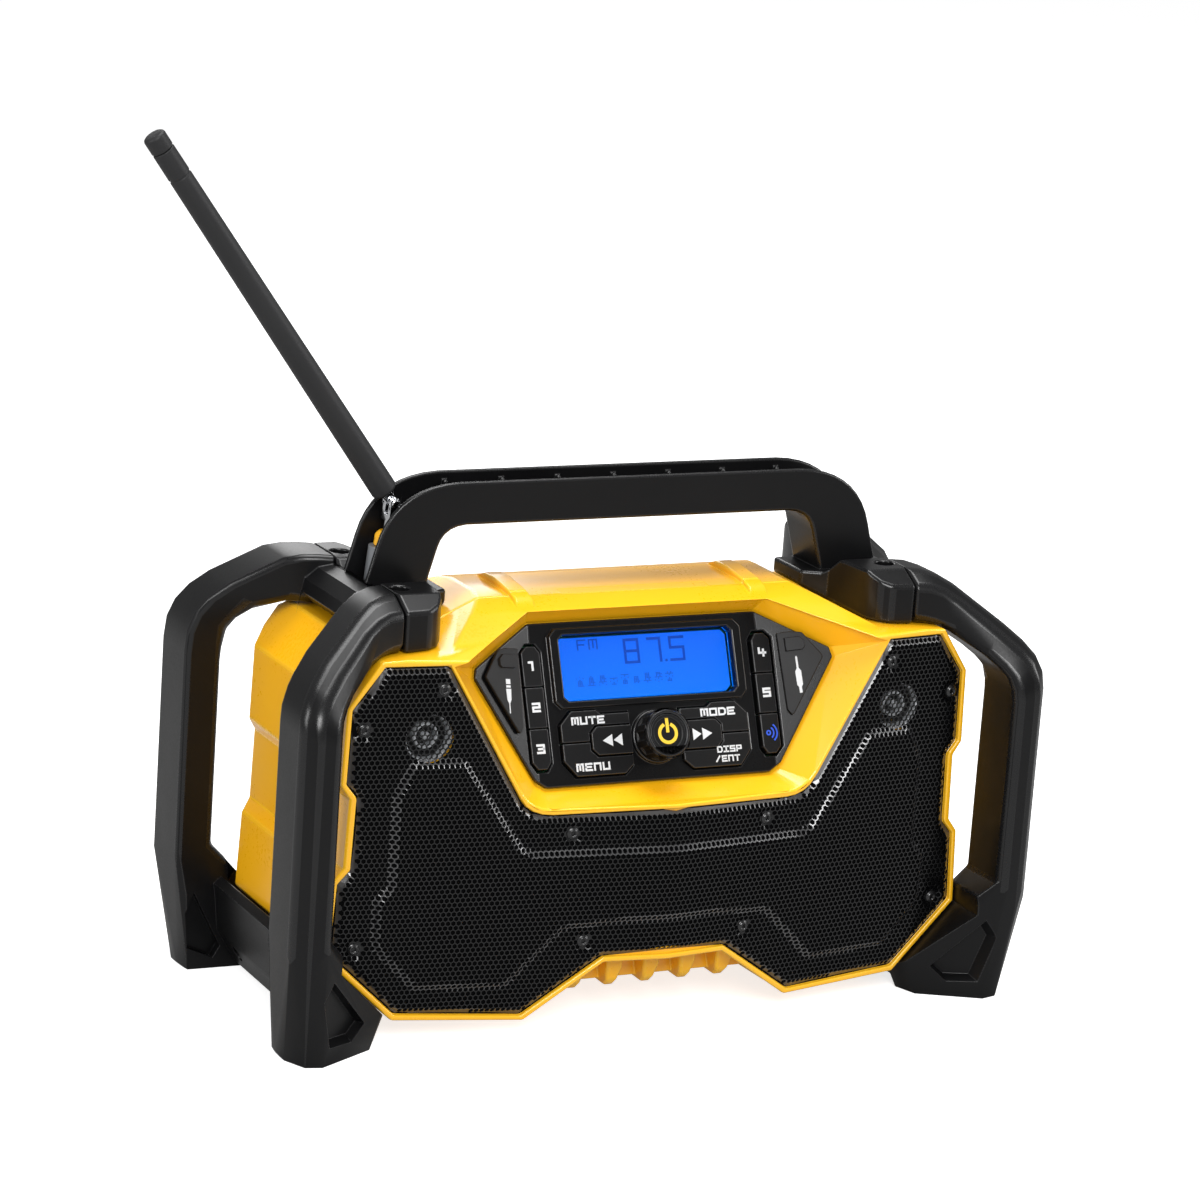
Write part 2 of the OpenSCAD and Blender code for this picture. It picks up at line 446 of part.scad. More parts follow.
module roll_cage() color(black) difference() {
  union() {
    hoop(1, 0);
    mirror([0, 1, 0]) hoop(0.4, 1);
    // beams that join the front and rear hoops
    xz(-40, 40) polygon([[140.9, 196.4], [149, 196.2], [156, 202.5], [155, 209.5], [149, 215.2], [140.9, 217]]);
    xz(-62, 62) polygon([[149, 5], [171, 2.5], [182, 20.5], [184.5, 45], [180, 48], [175.5, 43], [147, 16.5], [146, 9]]);
  }
  // clear of the housings
  xz(-100, 70) polygon(inset(tub_out, -0.5));
  fb() {
    translate([134.5, -37.2, 180]) cylinder(r = 2.1, h = 40);
    translate([160, 40, 30.9]) rotate([0, -43.3, 0]) translate([0, 0, -40]) cylinder(r = 2.1, h = 60);
    translate([160, 40, 30.9]) rotate([0, -43.3, 0]) translate([0, 0, -60]) cylinder(r = 4.4, h = 47);
  }
}
module right_roll_cage() roll_cage();
module left_roll_cage() mirror([1, 0, 0]) roll_cage();
module cage_screws() color(steel) lr() fb() translate([160, 40, 30.9]) rotate([0, -43.3, 0]) {
  translate([0, 0, -16]) cylinder(r = 4, h = 2.9);
  translate([0, 0, -13.2]) cylinder(r = 2, h = 19);
}

// ---- antenna -------------------------------------------------------------
piv = [-124.5, 0, 254.5];
// local z runs down the socket, whose axis leans a little
module on_mast() translate(piv) rotate([0, mast_lean, 0]) children();
module antenna_socket() color("#8d9093") difference() {
  on_mast() translate([0, 0, -48]) cylinder(r = 8.4, h = 25.5);
  on_mast() translate([0, 0, -34]) cylinder(r = 3.06, h = 20);
  translate([-160, -20, 180]) cube([60, 40, 33.1]);
}
module antenna_collar() color(yellow) on_mast() difference() {
  union() { translate([0, 0, -22.3]) cylinder(r = 6, h = 6); translate([0, 0, -16.4]) cylinder(r = 4.8, h = 1.9); }
  translate([0, 0, -30]) cylinder(r = 3.1, h = 20);
}
module antenna_fork() color("#d5d7da") on_mast() difference() {
  union() {
    translate([0, 0, -33.8]) cylinder(r = 3, h = 19);
    translate([0, 0, -15]) cylinder(r = 2.2, h = 6.4);
    intersection() {
      union() {
        translate([-2.3, -4.6, -9.4]) cube([4.6, 9.2, 9.4]);
        translate([0, 4.6, 0]) rotate([90, 0, 0]) cylinder(r = 2.7, h = 9.2);
      }
      translate([0, 0, -10]) cylinder(r = 5.3, h = 20);
    }
  }
  translate([-6, -2.1, -6.2]) cube([12, 4.2, 20]);
  translate([0, 6, 0]) rotate([90, 0, 0]) cylinder(r = 1.24, h = 12);
}
module antenna_pin() color("#b9bcc0") translate(piv) translate([0, 4.7, 0]) rotate([90, 0, 0]) cylinder(r = 1.2, h = 9.4);
module on_whip() translate(piv) rotate([0, -lean, 0]) children();
module antenna_whip() color("#232324") on_whip() {
  difference() {
    union() {
      translate([0, 1.8, 0]) rotate([90, 0, 0]) cylinder(r = 2.7, h = 3.6);
      translate([-2.2, -1.8, 0]) cube([4.4, 3.6, 8]);
    }
    translate([0, 3, 0]) rotate([90, 0, 0]) cylinder(r = 1.27, h = 6);
  }
  rotate_extrude() polygon([[0, 6.4], [whip_r - 0.8, 6.4], [whip_r, 7.2], [whip_r, 12], [tip_r, whip_len - 9], [0, whip_len - 9]]);
}
module antenna_tip() color("#28282a") on_whip() rotate_extrude()
  polygon([[0, whip_len - 8.9], [tip_r - 0.5, whip_len - 8.9], [tip_r - 0.5, whip_len - 8.1], [tip_r, whip_len - 8], [tip_r, whip_len - 1.4], [tip_r - 1.4, whip_len], [0, whip_len]]);

// ---- battery bay ---------------------------------------------------------
module battery_door() color(yellow) difference() {
  union() {
    translate([bay[0] + 0.5, rear_y - 2.8, bay[2] + 2.2]) cube([bay[1] - bay[0] - 1, 2.8, bay[3] - bay[2] - 3]);
    // grip pads and the guide of the latch
    for (x = [-78, 14]) translate([x, rear_y - 0.1, 60]) cube([11, 1.6, 96]);
    translate([-56.5, rear_y - 0.1, 146]) cube([60, 3.6, 4]);
    for (x = [-56.5, 1]) translate([x, rear_y - 0.1, 146]) cube([2.5, 5.6, 31]);
    translate([-60.3, 61.5, 36]) rotate([0, 90, 0]) cylinder(r = 3.4, h = 66.4);
    translate([-60.3, rear_y - 2.8, 36]) cube([66.4, 3.5, 6]);
    translate([-60.3, rear_y - 0.2, 35]) cube([66.4, 3.6, 4.4]);
  }
  translate([-70, 61.5, 36]) rotate([0, 90, 0]) cylinder(r = 1.56, h = 90);
}
module door_hinge_pin() color(steel) translate([-74.5, 61.5, 36]) rotate([0, 90, 0]) cylinder(r = 1.5, h = 94.6);
module battery_latch() color(black) difference() {
  union() {
    translate([-53.4, rear_y + 0.3, 158]) cube([53.8, 5.4, 38.6]);
    for (i = [0:5]) translate([-50 + i * 9.2, rear_y + 0.4, 160]) cube([5, 8, 37.6]);
  }
  translate([-31, rear_y + 0.1, 150]) cube([9, 4.4, 18]);
}
module latch_spring() color(steel) translate([-26.5, rear_y + 2.4, 0]) difference() {
  translate([0, 0, 150.2]) cylinder(r = 1.9, h = 17.4);
  translate([0, 0, 149]) cylinder(r = 1.2, h = 22);
}
module battery_terminals() color(dark) {
  translate([-60, 13, 44]) cube([66, 14, 14]);
  for (i = [0:4]) translate([-51 + i * 12, 27, 47]) cube([2, 10, 8]);
}
module power_inlet() color(dark) translate([100, rear_y - 2.9, 60]) rotate([90, 0, 0]) difference() {
  union() { cylinder(r = 5.8, h = 12); translate([0, 0, -1.9]) cylinder(r = 8.6, h = 1.91); }
  translate([0, 0, -5]) cylinder(r = 2.75, h = 14.4);
}

// ---- speakers and electronics ---------------------------------------------
module at_woofer(s) translate([s * woofer_x, -64.6, woofer_z]) rotate([-90, 0, 0]) children();
module basket(s) color("#3a3a3c") at_woofer(s) rotate_extrude()
  polygon([[woofer_r - 5, 0], [woofer_r, 0], [woofer_r, 2.6], [woofer_r - 3, 2.6], [20, 20], [20, 22.4], [7.2, 22.4], [7.2, 19.6], [17, 19.6], [woofer_r - 6, 2.4]]);
module cone(s) color("#26262a") at_woofer(s) rotate_extrude()
  polygon([[0, 6], [9, 8.6], [10, 10], [woofer_r - 9, -1], [woofer_r - 7.5, -2.4], [woofer_r - 5.6, -1.4], [woofer_r - 5.6, -0.4], [woofer_r - 7.4, -1], [woofer_r - 9, 1.8], [11, 13], [6.8, 13], [6.8, 19], [5.8, 19], [5.8, 9], [0, 7.2]]);
module magnet(s) color("#77797d") at_woofer(s) difference() {
  translate([0, 0, 22.6]) cylinder(r = 22, h = 11);
  translate([0, 0, 21]) cylinder(r = 7.2, h = 6);
}
module left_woofer_basket() basket(-1);
module right_woofer_basket() basket(1);
module left_woofer_cone() cone(-1);
module right_woofer_cone() cone(1);
module left_woofer_magnet() magnet(-1);
module right_woofer_magnet() magnet(1);
module tweeter(s) color("#a9acb0") translate([s * 129.5, -57.8, 155]) rotate([-90, 0, 0]) {
  cylinder(r = 16, h = 2.4);
  translate([0, 0, -2.4]) cylinder(r = 12, h = 2.5);
  translate([0, 0, 2.3]) cylinder(r = 10, h = 8);
}
module left_tweeter() tweeter(-1);
module right_tweeter() tweeter(1);
module main_board() color("#1f6b3a") translate([42, 0, 60]) cube([60, 1.6, 110]);
module heat_sink() color("#9da1a6") translate([50, 1.8, 130]) {
  cube([40, 3, 30]);
  for (i = [0:5]) translate([i * 7.6, 2.9, 0]) cube([2, 10, 30]);
}

front_housing();
rear_housing();
housing_gasket();
housing_screws();
speaker_grille();
grille_screws();
control_panel();
lcd_lens();
lcd_module();
keypad_board();
preset_key_1();
preset_key_2();
preset_key_3();
preset_key_4();
preset_key_5();
source_key();
mute_key();
menu_key();
mode_key();
display_key();
seek_down_key();
seek_up_key();
tuning_knob();
power_button();
tuning_encoder();
usb_door();
aux_door();
usb_socket();
aux_socket();
handle();
handle_screws();
left_roll_cage();
right_roll_cage();
cage_screws();
antenna_socket();
antenna_collar();
antenna_fork();
antenna_pin();
antenna_whip();
antenna_tip();
battery_door();
door_hinge_pin();
battery_latch();
latch_spring();
battery_terminals();
power_inlet();
left_woofer_basket();
left_woofer_cone();
left_woofer_magnet();
right_woofer_basket();
right_woofer_cone();
right_woofer_magnet();
left_tweeter();
right_tweeter();
main_board();
heat_sink();
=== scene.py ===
import json
import math

import bmesh
import bpy
import numpy as np
from mathutils import Matrix, Vector, geometry, kdtree


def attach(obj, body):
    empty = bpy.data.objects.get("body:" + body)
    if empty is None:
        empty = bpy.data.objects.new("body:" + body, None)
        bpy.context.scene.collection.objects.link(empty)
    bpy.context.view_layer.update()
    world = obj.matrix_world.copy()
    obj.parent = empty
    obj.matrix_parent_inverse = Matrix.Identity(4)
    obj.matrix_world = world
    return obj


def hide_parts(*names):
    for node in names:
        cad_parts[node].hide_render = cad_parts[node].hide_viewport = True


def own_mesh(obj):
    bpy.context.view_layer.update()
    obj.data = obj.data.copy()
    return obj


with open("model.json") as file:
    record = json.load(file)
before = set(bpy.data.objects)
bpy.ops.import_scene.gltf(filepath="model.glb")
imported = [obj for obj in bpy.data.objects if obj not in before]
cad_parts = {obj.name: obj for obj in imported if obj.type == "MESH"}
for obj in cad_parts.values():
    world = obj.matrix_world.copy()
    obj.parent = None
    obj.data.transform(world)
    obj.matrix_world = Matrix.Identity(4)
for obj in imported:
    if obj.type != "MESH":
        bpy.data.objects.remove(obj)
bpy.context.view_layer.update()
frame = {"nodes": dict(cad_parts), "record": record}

NODES = frame["nodes"]
BODY = {n: b for b, ns in frame["record"]["behaviour"]["bodies"].items() for n in ns}
SLOT = {s["node"]: s["material_slot"] for s in frame["record"]["subparts"]}
MM = 0.001
rad = math.radians


# ---- materials --------------------------------------------------------------
def srgb(r, g, b):
    return tuple((c / 255 / 12.92 if c / 255 <= 0.04045 else ((c / 255 + 0.055) / 1.055) ** 2.4) for c in (r, g, b)) + (1.0,)


def put(nt, kind, x, y, **values):
    n = nt.nodes.new(kind)
    n.location = (x, y)
    for k, v in values.items():
        setattr(n, k, v)
    return n


def plastic(name, dark, light, rough, swing=0.08, grain=700, bump=0.00006, patch=22, specular=0.5, metallic=0.0,
            coat=0.0, scuff=0.0, scuff_colour=None, stretch=(1, 1, 1), transmission=0.0, sheen=0.0):
    """A moulded or cast surface: slow colour drift, fine grain in roughness and bump, and light scuffs."""
    m = bpy.data.materials.new(name)
    m.use_nodes = True
    nt = m.node_tree
    bsdf = nt.nodes["Principled BSDF"]
    bsdf.inputs["Metallic"].default_value = metallic
    bsdf.inputs["Specular IOR Level"].default_value = specular
    bsdf.inputs["Coat Weight"].default_value = coat
    bsdf.inputs["Coat Roughness"].default_value = 0.12
    bsdf.inputs["Transmission Weight"].default_value = transmission
    bsdf.inputs["Sheen Weight"].default_value = sheen
    tc = put(nt, "ShaderNodeTexCoord", -1200, 0)
    mp = put(nt, "ShaderNodeMapping", -1020, 0)
    mp.inputs["Scale"].default_value = stretch
    nt.links.new(tc.outputs["Object"], mp.inputs["Vector"])
    slow = put(nt, "ShaderNodeTexNoise", -820, 220)
    slow.inputs["Scale"].default_value = patch
    slow.inputs["Detail"].default_value = 4.0
    fine = put(nt, "ShaderNodeTexNoise", -820, -120)
    fine.inputs["Scale"].default_value = grain
    fine.inputs["Detail"].default_value = 3.0
    fine.inputs["Roughness"].default_value = 0.6
    for n in (slow, fine):
        nt.links.new(mp.outputs["Vector"], n.inputs["Vector"])
    mix = put(nt, "ShaderNodeMix", -420, 260, data_type="RGBA")
    mix.inputs[6].default_value = dark
    mix.inputs[7].default_value = light
    nt.links.new(slow.outputs["Fac"], mix.inputs[0])
    colour = mix.outputs[2]
    if scuff:
        # short bright scratches where a stretched noise peaks
        sm = put(nt, "ShaderNodeMapping", -1020, -420)
        sm.inputs["Scale"].default_value = (1, 1, 9)
        sm.inputs["Rotation"].default_value = (0.4, 0.9, 0.3)
        sn = put(nt, "ShaderNodeTexNoise", -820, -420)
        sn.inputs["Scale"].default_value = 95
        sn.inputs["Detail"].default_value = 6.0
        ramp = put(nt, "ShaderNodeMapRange", -620, -420)
        ramp.inputs["From Min"].default_value = 0.66
        ramp.inputs["From Max"].default_value = 0.78
        ramp.inputs["To Max"].default_value = scuff
        nt.links.new(tc.outputs["Object"], sm.inputs["Vector"])
        nt.links.new(sm.outputs["Vector"], sn.inputs["Vector"])
        nt.links.new(sn.outputs["Fac"], ramp.inputs["Value"])
        worn = put(nt, "ShaderNodeMix", -220, 260, data_type="RGBA")
        worn.inputs[7].default_value = scuff_colour or light
        nt.links.new(ramp.outputs["Result"], worn.inputs[0])
        nt.links.new(colour, worn.inputs[6])
        colour = worn.outputs[2]
    nt.links.new(colour, bsdf.inputs["Base Color"])
    add = put(nt, "ShaderNodeMath", -620, 40, operation="ADD")
    nt.links.new(slow.outputs["Fac"], add.inputs[0])
    nt.links.new(fine.outputs["Fac"], add.inputs[1])
    rr = put(nt, "ShaderNodeMapRange", -420, 0)
    rr.inputs["From Min"].default_value = 0.6
    rr.inputs["From Max"].default_value = 1.4
    rr.inputs["To Min"].default_value = max(0.02, rough - swing)
    rr.inputs["To Max"].default_value = rough + swing
    nt.links.new(add.outputs[0], rr.inputs["Value"])
    nt.links.new(rr.outputs["Result"], bsdf.inputs["Roughness"])
    bp = put(nt, "ShaderNodeBump", -420, -260)
    bp.inputs["Strength"].default_value = 0.7
    bp.inputs["Distance"].default_value = bump
    nt.links.new(fine.outputs["Fac"], bp.inputs["Height"])
    nt.links.new(bp.outputs["Normal"], bsdf.inputs["Normal"])
    return m


def glowing(name, low, high, strength):
    """The backlit display: its light is a little uneven, mottled and changing from its lower edge to its upper edge."""
    m = bpy.data.materials.new(name)
    m.use_nodes = True
    nt = m.node_tree
    bsdf = nt.nodes["Principled BSDF"]
    bsdf.inputs["Roughness"].default_value = 0.35
    bsdf.inputs["Base Color"].default_value = (0.0, 0.02, 0.1, 1)
    tc = put(nt, "ShaderNodeTexCoord", -900, 0)
    slow = put(nt, "ShaderNodeTexNoise", -700, 0)
    slow.inputs["Scale"].default_value = 16
    slow.inputs["Detail"].default_value = 1.0
    nt.links.new(tc.outputs["Object"], slow.inputs["Vector"])
    sep = put(nt, "ShaderNodeSeparateXYZ", -700, -220)
    nt.links.new(tc.outputs["Object"], sep.inputs[0])
    rise = put(nt, "ShaderNodeMapRange", -500, -220)
    rise.inputs["From Min"].default_value = 0.160
    rise.inputs["From Max"].default_value = 0.195
    nt.links.new(sep.outputs["Z"], rise.inputs["Value"])
    add = put(nt, "ShaderNodeMath", -320, -60, operation="MULTIPLY_ADD")
    add.inputs[1].default_value = 0.5
    nt.links.new(slow.outputs["Fac"], add.inputs[0])
    nt.links.new(rise.outputs["Result"], add.inputs[2])
    mix = put(nt, "ShaderNodeMix", -140, 0, data_type="RGBA")
    mix.inputs[6].default_value = high
    mix.inputs[7].default_value = low
    nt.links.new(add.outputs[0], mix.inputs[0])
    nt.links.new(mix.outputs[2], bsdf.inputs["Emission Color"])
    bsdf.inputs["Emission Strength"].default_value = strength
    return m


YELLOW = plastic("yellow_shell", srgb(252, 182, 14), srgb(255, 188, 22), 0.30, swing=0.05, grain=520, bump=0.000006, coat=0.35)
# The edge copies are lighter than their base colours: a painted highlight on the rounded edges, with a little more
# gloss.
YELLOW_EDGE_PAINTED_HIGHLIGHT = plastic("yellow_shell_painted_edge_highlight", srgb(253, 187, 24), srgb(255, 197, 44), 0.26, swing=0.05, grain=520, bump=0.000006, coat=0.4)
CAGE = plastic("cage_black", srgb(9, 9, 10), srgb(13, 13, 14), 0.34, swing=0.06, grain=900, bump=0.00003, specular=0.24)
CAGE_EDGE_PAINTED_HIGHLIGHT = plastic("cage_black_painted_edge_highlight", srgb(13, 13, 14), srgb(20, 20, 21), 0.28, swing=0.06, grain=900, bump=0.00003, specular=0.4)
PANEL = plastic("panel_black", srgb(7, 7, 8), srgb(11, 11, 12), 0.30, swing=0.06, grain=1300, bump=0.00003, specular=0.2)
PANEL_EDGE_PAINTED_HIGHLIGHT = plastic("panel_black_painted_edge_highlight", srgb(17, 17, 18), srgb(27, 27, 28), 0.24, swing=0.05, grain=1300, bump=0.00003, specular=0.5)
KEY = plastic("key_black", srgb(10, 10, 11), srgb(15, 15, 16), 0.40, swing=0.07, grain=1800, bump=0.00003, specular=0.22)
KEY_EDGE_PAINTED_HIGHLIGHT = plastic("key_black_painted_edge_highlight", srgb(26, 26, 27), srgb(38, 38, 40), 0.34, swing=0.05, grain=1800, bump=0.00003)
FLAP = plastic("flap_rubber", srgb(16, 16, 17), srgb(23, 23, 24), 0.50, swing=0.06, grain=2200, bump=0.00004, specular=0.28)
GRILLE = plastic("grille_black", srgb(3, 3, 4), srgb(6, 6, 7), 0.24, swing=0.05, grain=1600, bump=0.00002, coat=0.1, specular=0.42)
# lighter copy of the grille lacquer for the embossed slopes: a painted highlight
GRILLE_SLOPE_PAINTED_HIGHLIGHT = plastic("grille_black_slope_painted_highlight", srgb(34, 34, 35), srgb(66, 66, 67), 0.30, swing=0.05, grain=1600, bump=0.00002, patch=60, coat=0.6, specular=0.9)
# near-black sheet behind the grille holes: painted shade for the dark inside
SHADE_SHEET = plastic("grille_painted_shade_sheet", srgb(2, 2, 3), srgb(5, 5, 6), 0.95, swing=0.04, grain=2600, bump=0.00012, specular=0.1)
SCREW = plastic("screw_black", srgb(16, 16, 17), srgb(28, 28, 29), 0.26, swing=0.08, grain=1600, bump=0.00002, coat=0.2)
STEEL = plastic("steel", srgb(150, 152, 156), srgb(196, 198, 202), 0.30, swing=0.09, grain=1400, bump=0.00003, metallic=1.0)
CHROME = plastic("chrome", srgb(205, 207, 211), srgb(238, 239, 241), 0.10, swing=0.05, grain=800, bump=0.00001, metallic=1.0)
WHIP = plastic("whip_rubber", srgb(30, 30, 31), srgb(38, 38, 39), 0.52, swing=0.07, grain=1500, bump=0.00008, stretch=(1, 1, 0.5), specular=0.3)
SOCKET = plastic("socket_grey", srgb(128, 131, 135), srgb(158, 161, 165), 0.36, swing=0.07, grain=900, bump=0.00003, metallic=0.6)
INNER = plastic("inner_black", srgb(14, 14, 15), srgb(24, 24, 25), 0.6, swing=0.08, grain=1400, bump=0.00006)
BASKET = plastic("basket_black", srgb(26, 26, 28), srgb(38, 38, 40), 0.5, swing=0.08, grain=1100, bump=0.00006)
PAPER = plastic("cone_paper", srgb(30, 29, 28), srgb(46, 44, 42), 0.85, swing=0.06, grain=420, bump=0.0002, sheen=0.2)
MAGNET = plastic("magnet", srgb(92, 94, 98), srgb(128, 130, 134), 0.4, swing=0.1, grain=900, bump=0.00004, metallic=0.9)
ALU = plastic("aluminium", srgb(156, 159, 163), srgb(190, 193, 197), 0.36, swing=0.1, grain=1000, bump=0.00003, metallic=1.0, stretch=(1, 1, 0.1))
TRIM = plastic("bright_trim", srgb(196, 199, 203), srgb(224, 227, 231), 0.42, swing=0.1, grain=1000, bump=0.00002, specular=0.6)
BOARD = plastic("board_green", srgb(18, 66, 36), srgb(30, 92, 52), 0.4, swing=0.08, grain=600, bump=0.00004)
SEAL = plastic("seal_rubber", srgb(28, 28, 30), srgb(42, 42, 44), 0.75, swing=0.06, grain=1200, bump=0.00006)
LENS = plastic("display_window", srgb(225, 238, 255), srgb(235, 244, 255), 0.06, swing=0.03, grain=900, bump=0.000002, transmission=1.0, specular=0.05)
DISPLAY = glowing("display_blue", srgb(0, 104, 238), srgb(0, 128, 254), 1.0)
LENS.node_tree.nodes["Principled BSDF"].inputs["IOR"].default_value = 1.12
DIGITS = glowing("display_digits", srgb(0, 66, 196), srgb(0, 78, 214), 0.72)
LEGEND = plastic("legend_white", srgb(196, 198, 200), srgb(220, 222, 224), 0.5, swing=0.08, grain=2400, bump=0.00001)
LEGEND_BLUE = plastic("legend_blue", srgb(26, 70, 190), srgb(36, 86, 214), 0.5, swing=0.08, grain=2400, bump=0.00001)
POWER = plastic("legend_yellow", srgb(226, 184, 40), srgb(240, 202, 60), 0.45, swing=0.08, grain=2400, bump=0.00001)

BASE = {"yellow_shell": YELLOW, "cage_black": CAGE, "panel_black": PANEL, "key_black": KEY, "grille_black": GRILLE,
        "screw_black": SCREW, "display_window": LENS, "display_blue": DISPLAY, "board_green": BOARD, "seal_rubber": SEAL,
        "steel": STEEL, "chrome": CHROME, "whip_rubber": WHIP, "socket_grey": SOCKET, "inner_black": INNER,
        "flap_rubber": FLAP, "basket_black": BASKET, "cone_paper": PAPER, "magnet": MAGNET, "aluminium": ALU}
# lighter edge copies of the base materials: painted edge highlights
EDGE_PAINTED_HIGHLIGHT = {"yellow_shell": YELLOW_EDGE_PAINTED_HIGHLIGHT, "cage_black": CAGE_EDGE_PAINTED_HIGHLIGHT, "panel_black": PANEL_EDGE_PAINTED_HIGHLIGHT, "key_black": KEY_EDGE_PAINTED_HIGHLIGHT}

for name, node in NODES.items():
    node.data.materials.clear()
    node.data.materials.append(BASE[SLOT[name]])


# ---- mesh helpers -----------------------------------------------------------
def link(name, mesh, materials, body, nodes=()):
    ob = bpy.data.objects.new(name, mesh)
    bpy.context.scene.collection.objects.link(ob)
    mesh.materials.clear()
    for m in materials:
        mesh.materials.append(m)
    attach(ob, body)
    if nodes:
        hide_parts(*nodes)
    return ob


def smooth(ob, weighted=True):
    ob.data.polygons.foreach_set("use_smooth", [True] * len(ob.data.polygons))
    if weighted:
        wn = ob.modifiers.new("normals", "WEIGHTED_NORMAL")
        wn.mode = "FACE_AREA"
        wn.keep_sharp = True


def skin(node, width, angle=24, segments=3, name=None, shrink=0.44, concave=0.6, zone=None):
    """A copy of a CAD node with its edges rounded. Each edge's radius is at most a share of the room around it."""
    src = NODES[node]
    bm = bmesh.new()
    bm.from_mesh(src.data)
    bmesh.ops.remove_doubles(bm, verts=bm.verts, dist=4e-6)
    bmesh.ops.dissolve_degenerate(bm, edges=bm.edges, dist=4e-6)
    bmesh.ops.dissolve_limit(bm, angle_limit=rad(0.8), use_dissolve_boundaries=False, verts=bm.verts, edges=bm.edges)
    bm.normal_update()
    weight = bm.edges.layers.float.new("bevel_weight_edge")
    sharp = [e for e in bm.edges if len(e.link_faces) == 2 and e.calc_face_angle(0) > rad(angle)]
    samples, owner = [], []
    for k, e in enumerate(sharp):
        a, b = e.verts[0].co, e.verts[1].co
        n = max(1, min(60, int((b - a).length / (0.0012))))
        for i in range(n + 1):
            samples.append(a.lerp(b, (i + 0.5) / (n + 1)))
            owner.append(k)
    kd = kdtree.KDTree(len(samples))
    for i, p in enumerate(samples):
        kd.insert(p, i)
    kd.balance()
    room = [1e9] * len(sharp)
    for i, p in enumerate(samples):
        k = owner[i]
        e = sharp[k]
        d0 = (e.verts[1].co - e.verts[0].co).normalized()
        for q, j, dist in kd.find_range(p, width * MM / shrink):
            o = owner[j]
            if o == k or dist > room[k]:
                continue
            f = sharp[o]
            if set(e.verts) & set(f.verts):
                continue
            # the same line carried on isn't in the way
            d1 = (f.verts[1].co - f.verts[0].co).normalized()
            away = (q - p) - d0 * (q - p).dot(d0)
            if abs(d0.dot(d1)) > 0.9 and away.length < 0.35 * dist:
                continue
            room[k] = dist
    chosen = set(sharp)
    for k, e in enumerate(sharp):
        d0 = (e.verts[1].co - e.verts[0].co).normalized()
        for v in e.verts:
            for f in v.link_edges:
                if f is e or f not in chosen:
                    continue
                d1 = (f.verts[1].co - f.verts[0].co).normalized()
                if abs(d0.dot(d1)) < 0.8:
                    room[k] = min(room[k], f.calc_length())
    for k, e in enumerate(sharp):
        w = min(1.0, shrink * room[k] / (width * MM))
        if zone:
            w *= zone((e.verts[0].co + e.verts[1].co) / 2)
        if not e.is_convex:
            w *= concave
        e[weight] = max(0.02, w)
    me = bpy.data.meshes.new(name or node + "_skin")
    bm.to_mesh(me)
    bm.free()
    slot = SLOT[node]
    # the rounded edges take the lighter edge copy of the material, a painted edge highlight
    mats = [BASE[slot], EDGE_PAINTED_HIGHLIGHT.get(slot, BASE[slot])]
    ob = link(name or node + "_skin", me, mats, BODY[node], (node,))
    for p in me.polygons:
        p.material_index = 0
    bv = ob.modifiers.new("round", "BEVEL")
    bv.limit_method = "WEIGHT"
    bv.width = width * MM
    bv.segments = segments
    bv.use_clamp_overlap = False
    bv.material = 1
    bv.miter_outer = "MITER_SHARP"
    bv.harden_normals = False
    bpy.context.view_layer.update()
    done = bpy.data.meshes.new_from_object(ob.evaluated_get(bpy.context.evaluated_depsgraph_get()))
    ob.modifiers.clear()
    ob.data = done
    smooth(ob)
    return ob


def lathe(name, profile, place, material, body, nodes=(), segments=48, closed=False):
    """A turned piece: (radius, height) pairs in mm, turned round local z of the matrix place."""
    bm = bmesh.new()
    rings = []
    for r, h in profile:
        if r < 1e-6:
            rings.append([bm.verts.new(place @ Vector((0, 0, h * MM)))])
        else:
            rings.append([bm.verts.new(place @ Vector((r * MM * math.cos(2 * math.pi * i / segments), r * MM * math.sin(2 * math.pi * i / segments), h * MM))) for i in range(segments)])
    pairs = list(zip(rings, rings[1:])) + ([(rings[-1], rings[0])] if closed else [])
    for a, b in pairs:
        for i in range(segments):
            j = (i + 1) % segments
            if len(a) == 1 and len(b) > 1:
                bm.faces.new((a[0], b[j], b[i]))
            elif len(b) == 1 and len(a) > 1:
                bm.faces.new((a[i], a[j], b[0]))
            elif len(a) > 1:
                bm.faces.new((a[i], a[j], b[j], b[i]))
    bmesh.ops.recalc_face_normals(bm, faces=bm.faces)
    me = bpy.data.meshes.new(name)
    bm.to_mesh(me)
    bm.free()
    ob = link(name, me, [material], body, nodes)
    smooth(ob)
    return ob


# ---- the CAD's own frames ---------------------------------------------------
TILT = 23.37
PANEL_AT = Matrix.Translation((0, -0.04987, 0.160)) @ Matrix.Rotation(rad(90 - TILT), 4, "X")
WING_AT = PANEL_AT @ Matrix.Translation((0.066, -0.040, 0)) @ Matrix.Rotation(rad(2.095), 4, "Z") @ Matrix.Rotation(rad(-17.6), 4, "Y")
MIRROR = Matrix.Scale(-1, 4, (1, 0, 0))
PIV = Vector((-0.1245, 0, 0.2545))
MAST_AT = Matrix.Translation(PIV) @ Matrix.Rotation(rad(5), 4, "Y")
WHIP_AT = Matrix.Translation(PIV) @ Matrix.Rotation(rad(-36.2), 4, "Y")
KNOB_Q = -18.2
KNOB_H = 15.0
SIDES = {1: Matrix.Identity(4), -1: MIRROR}


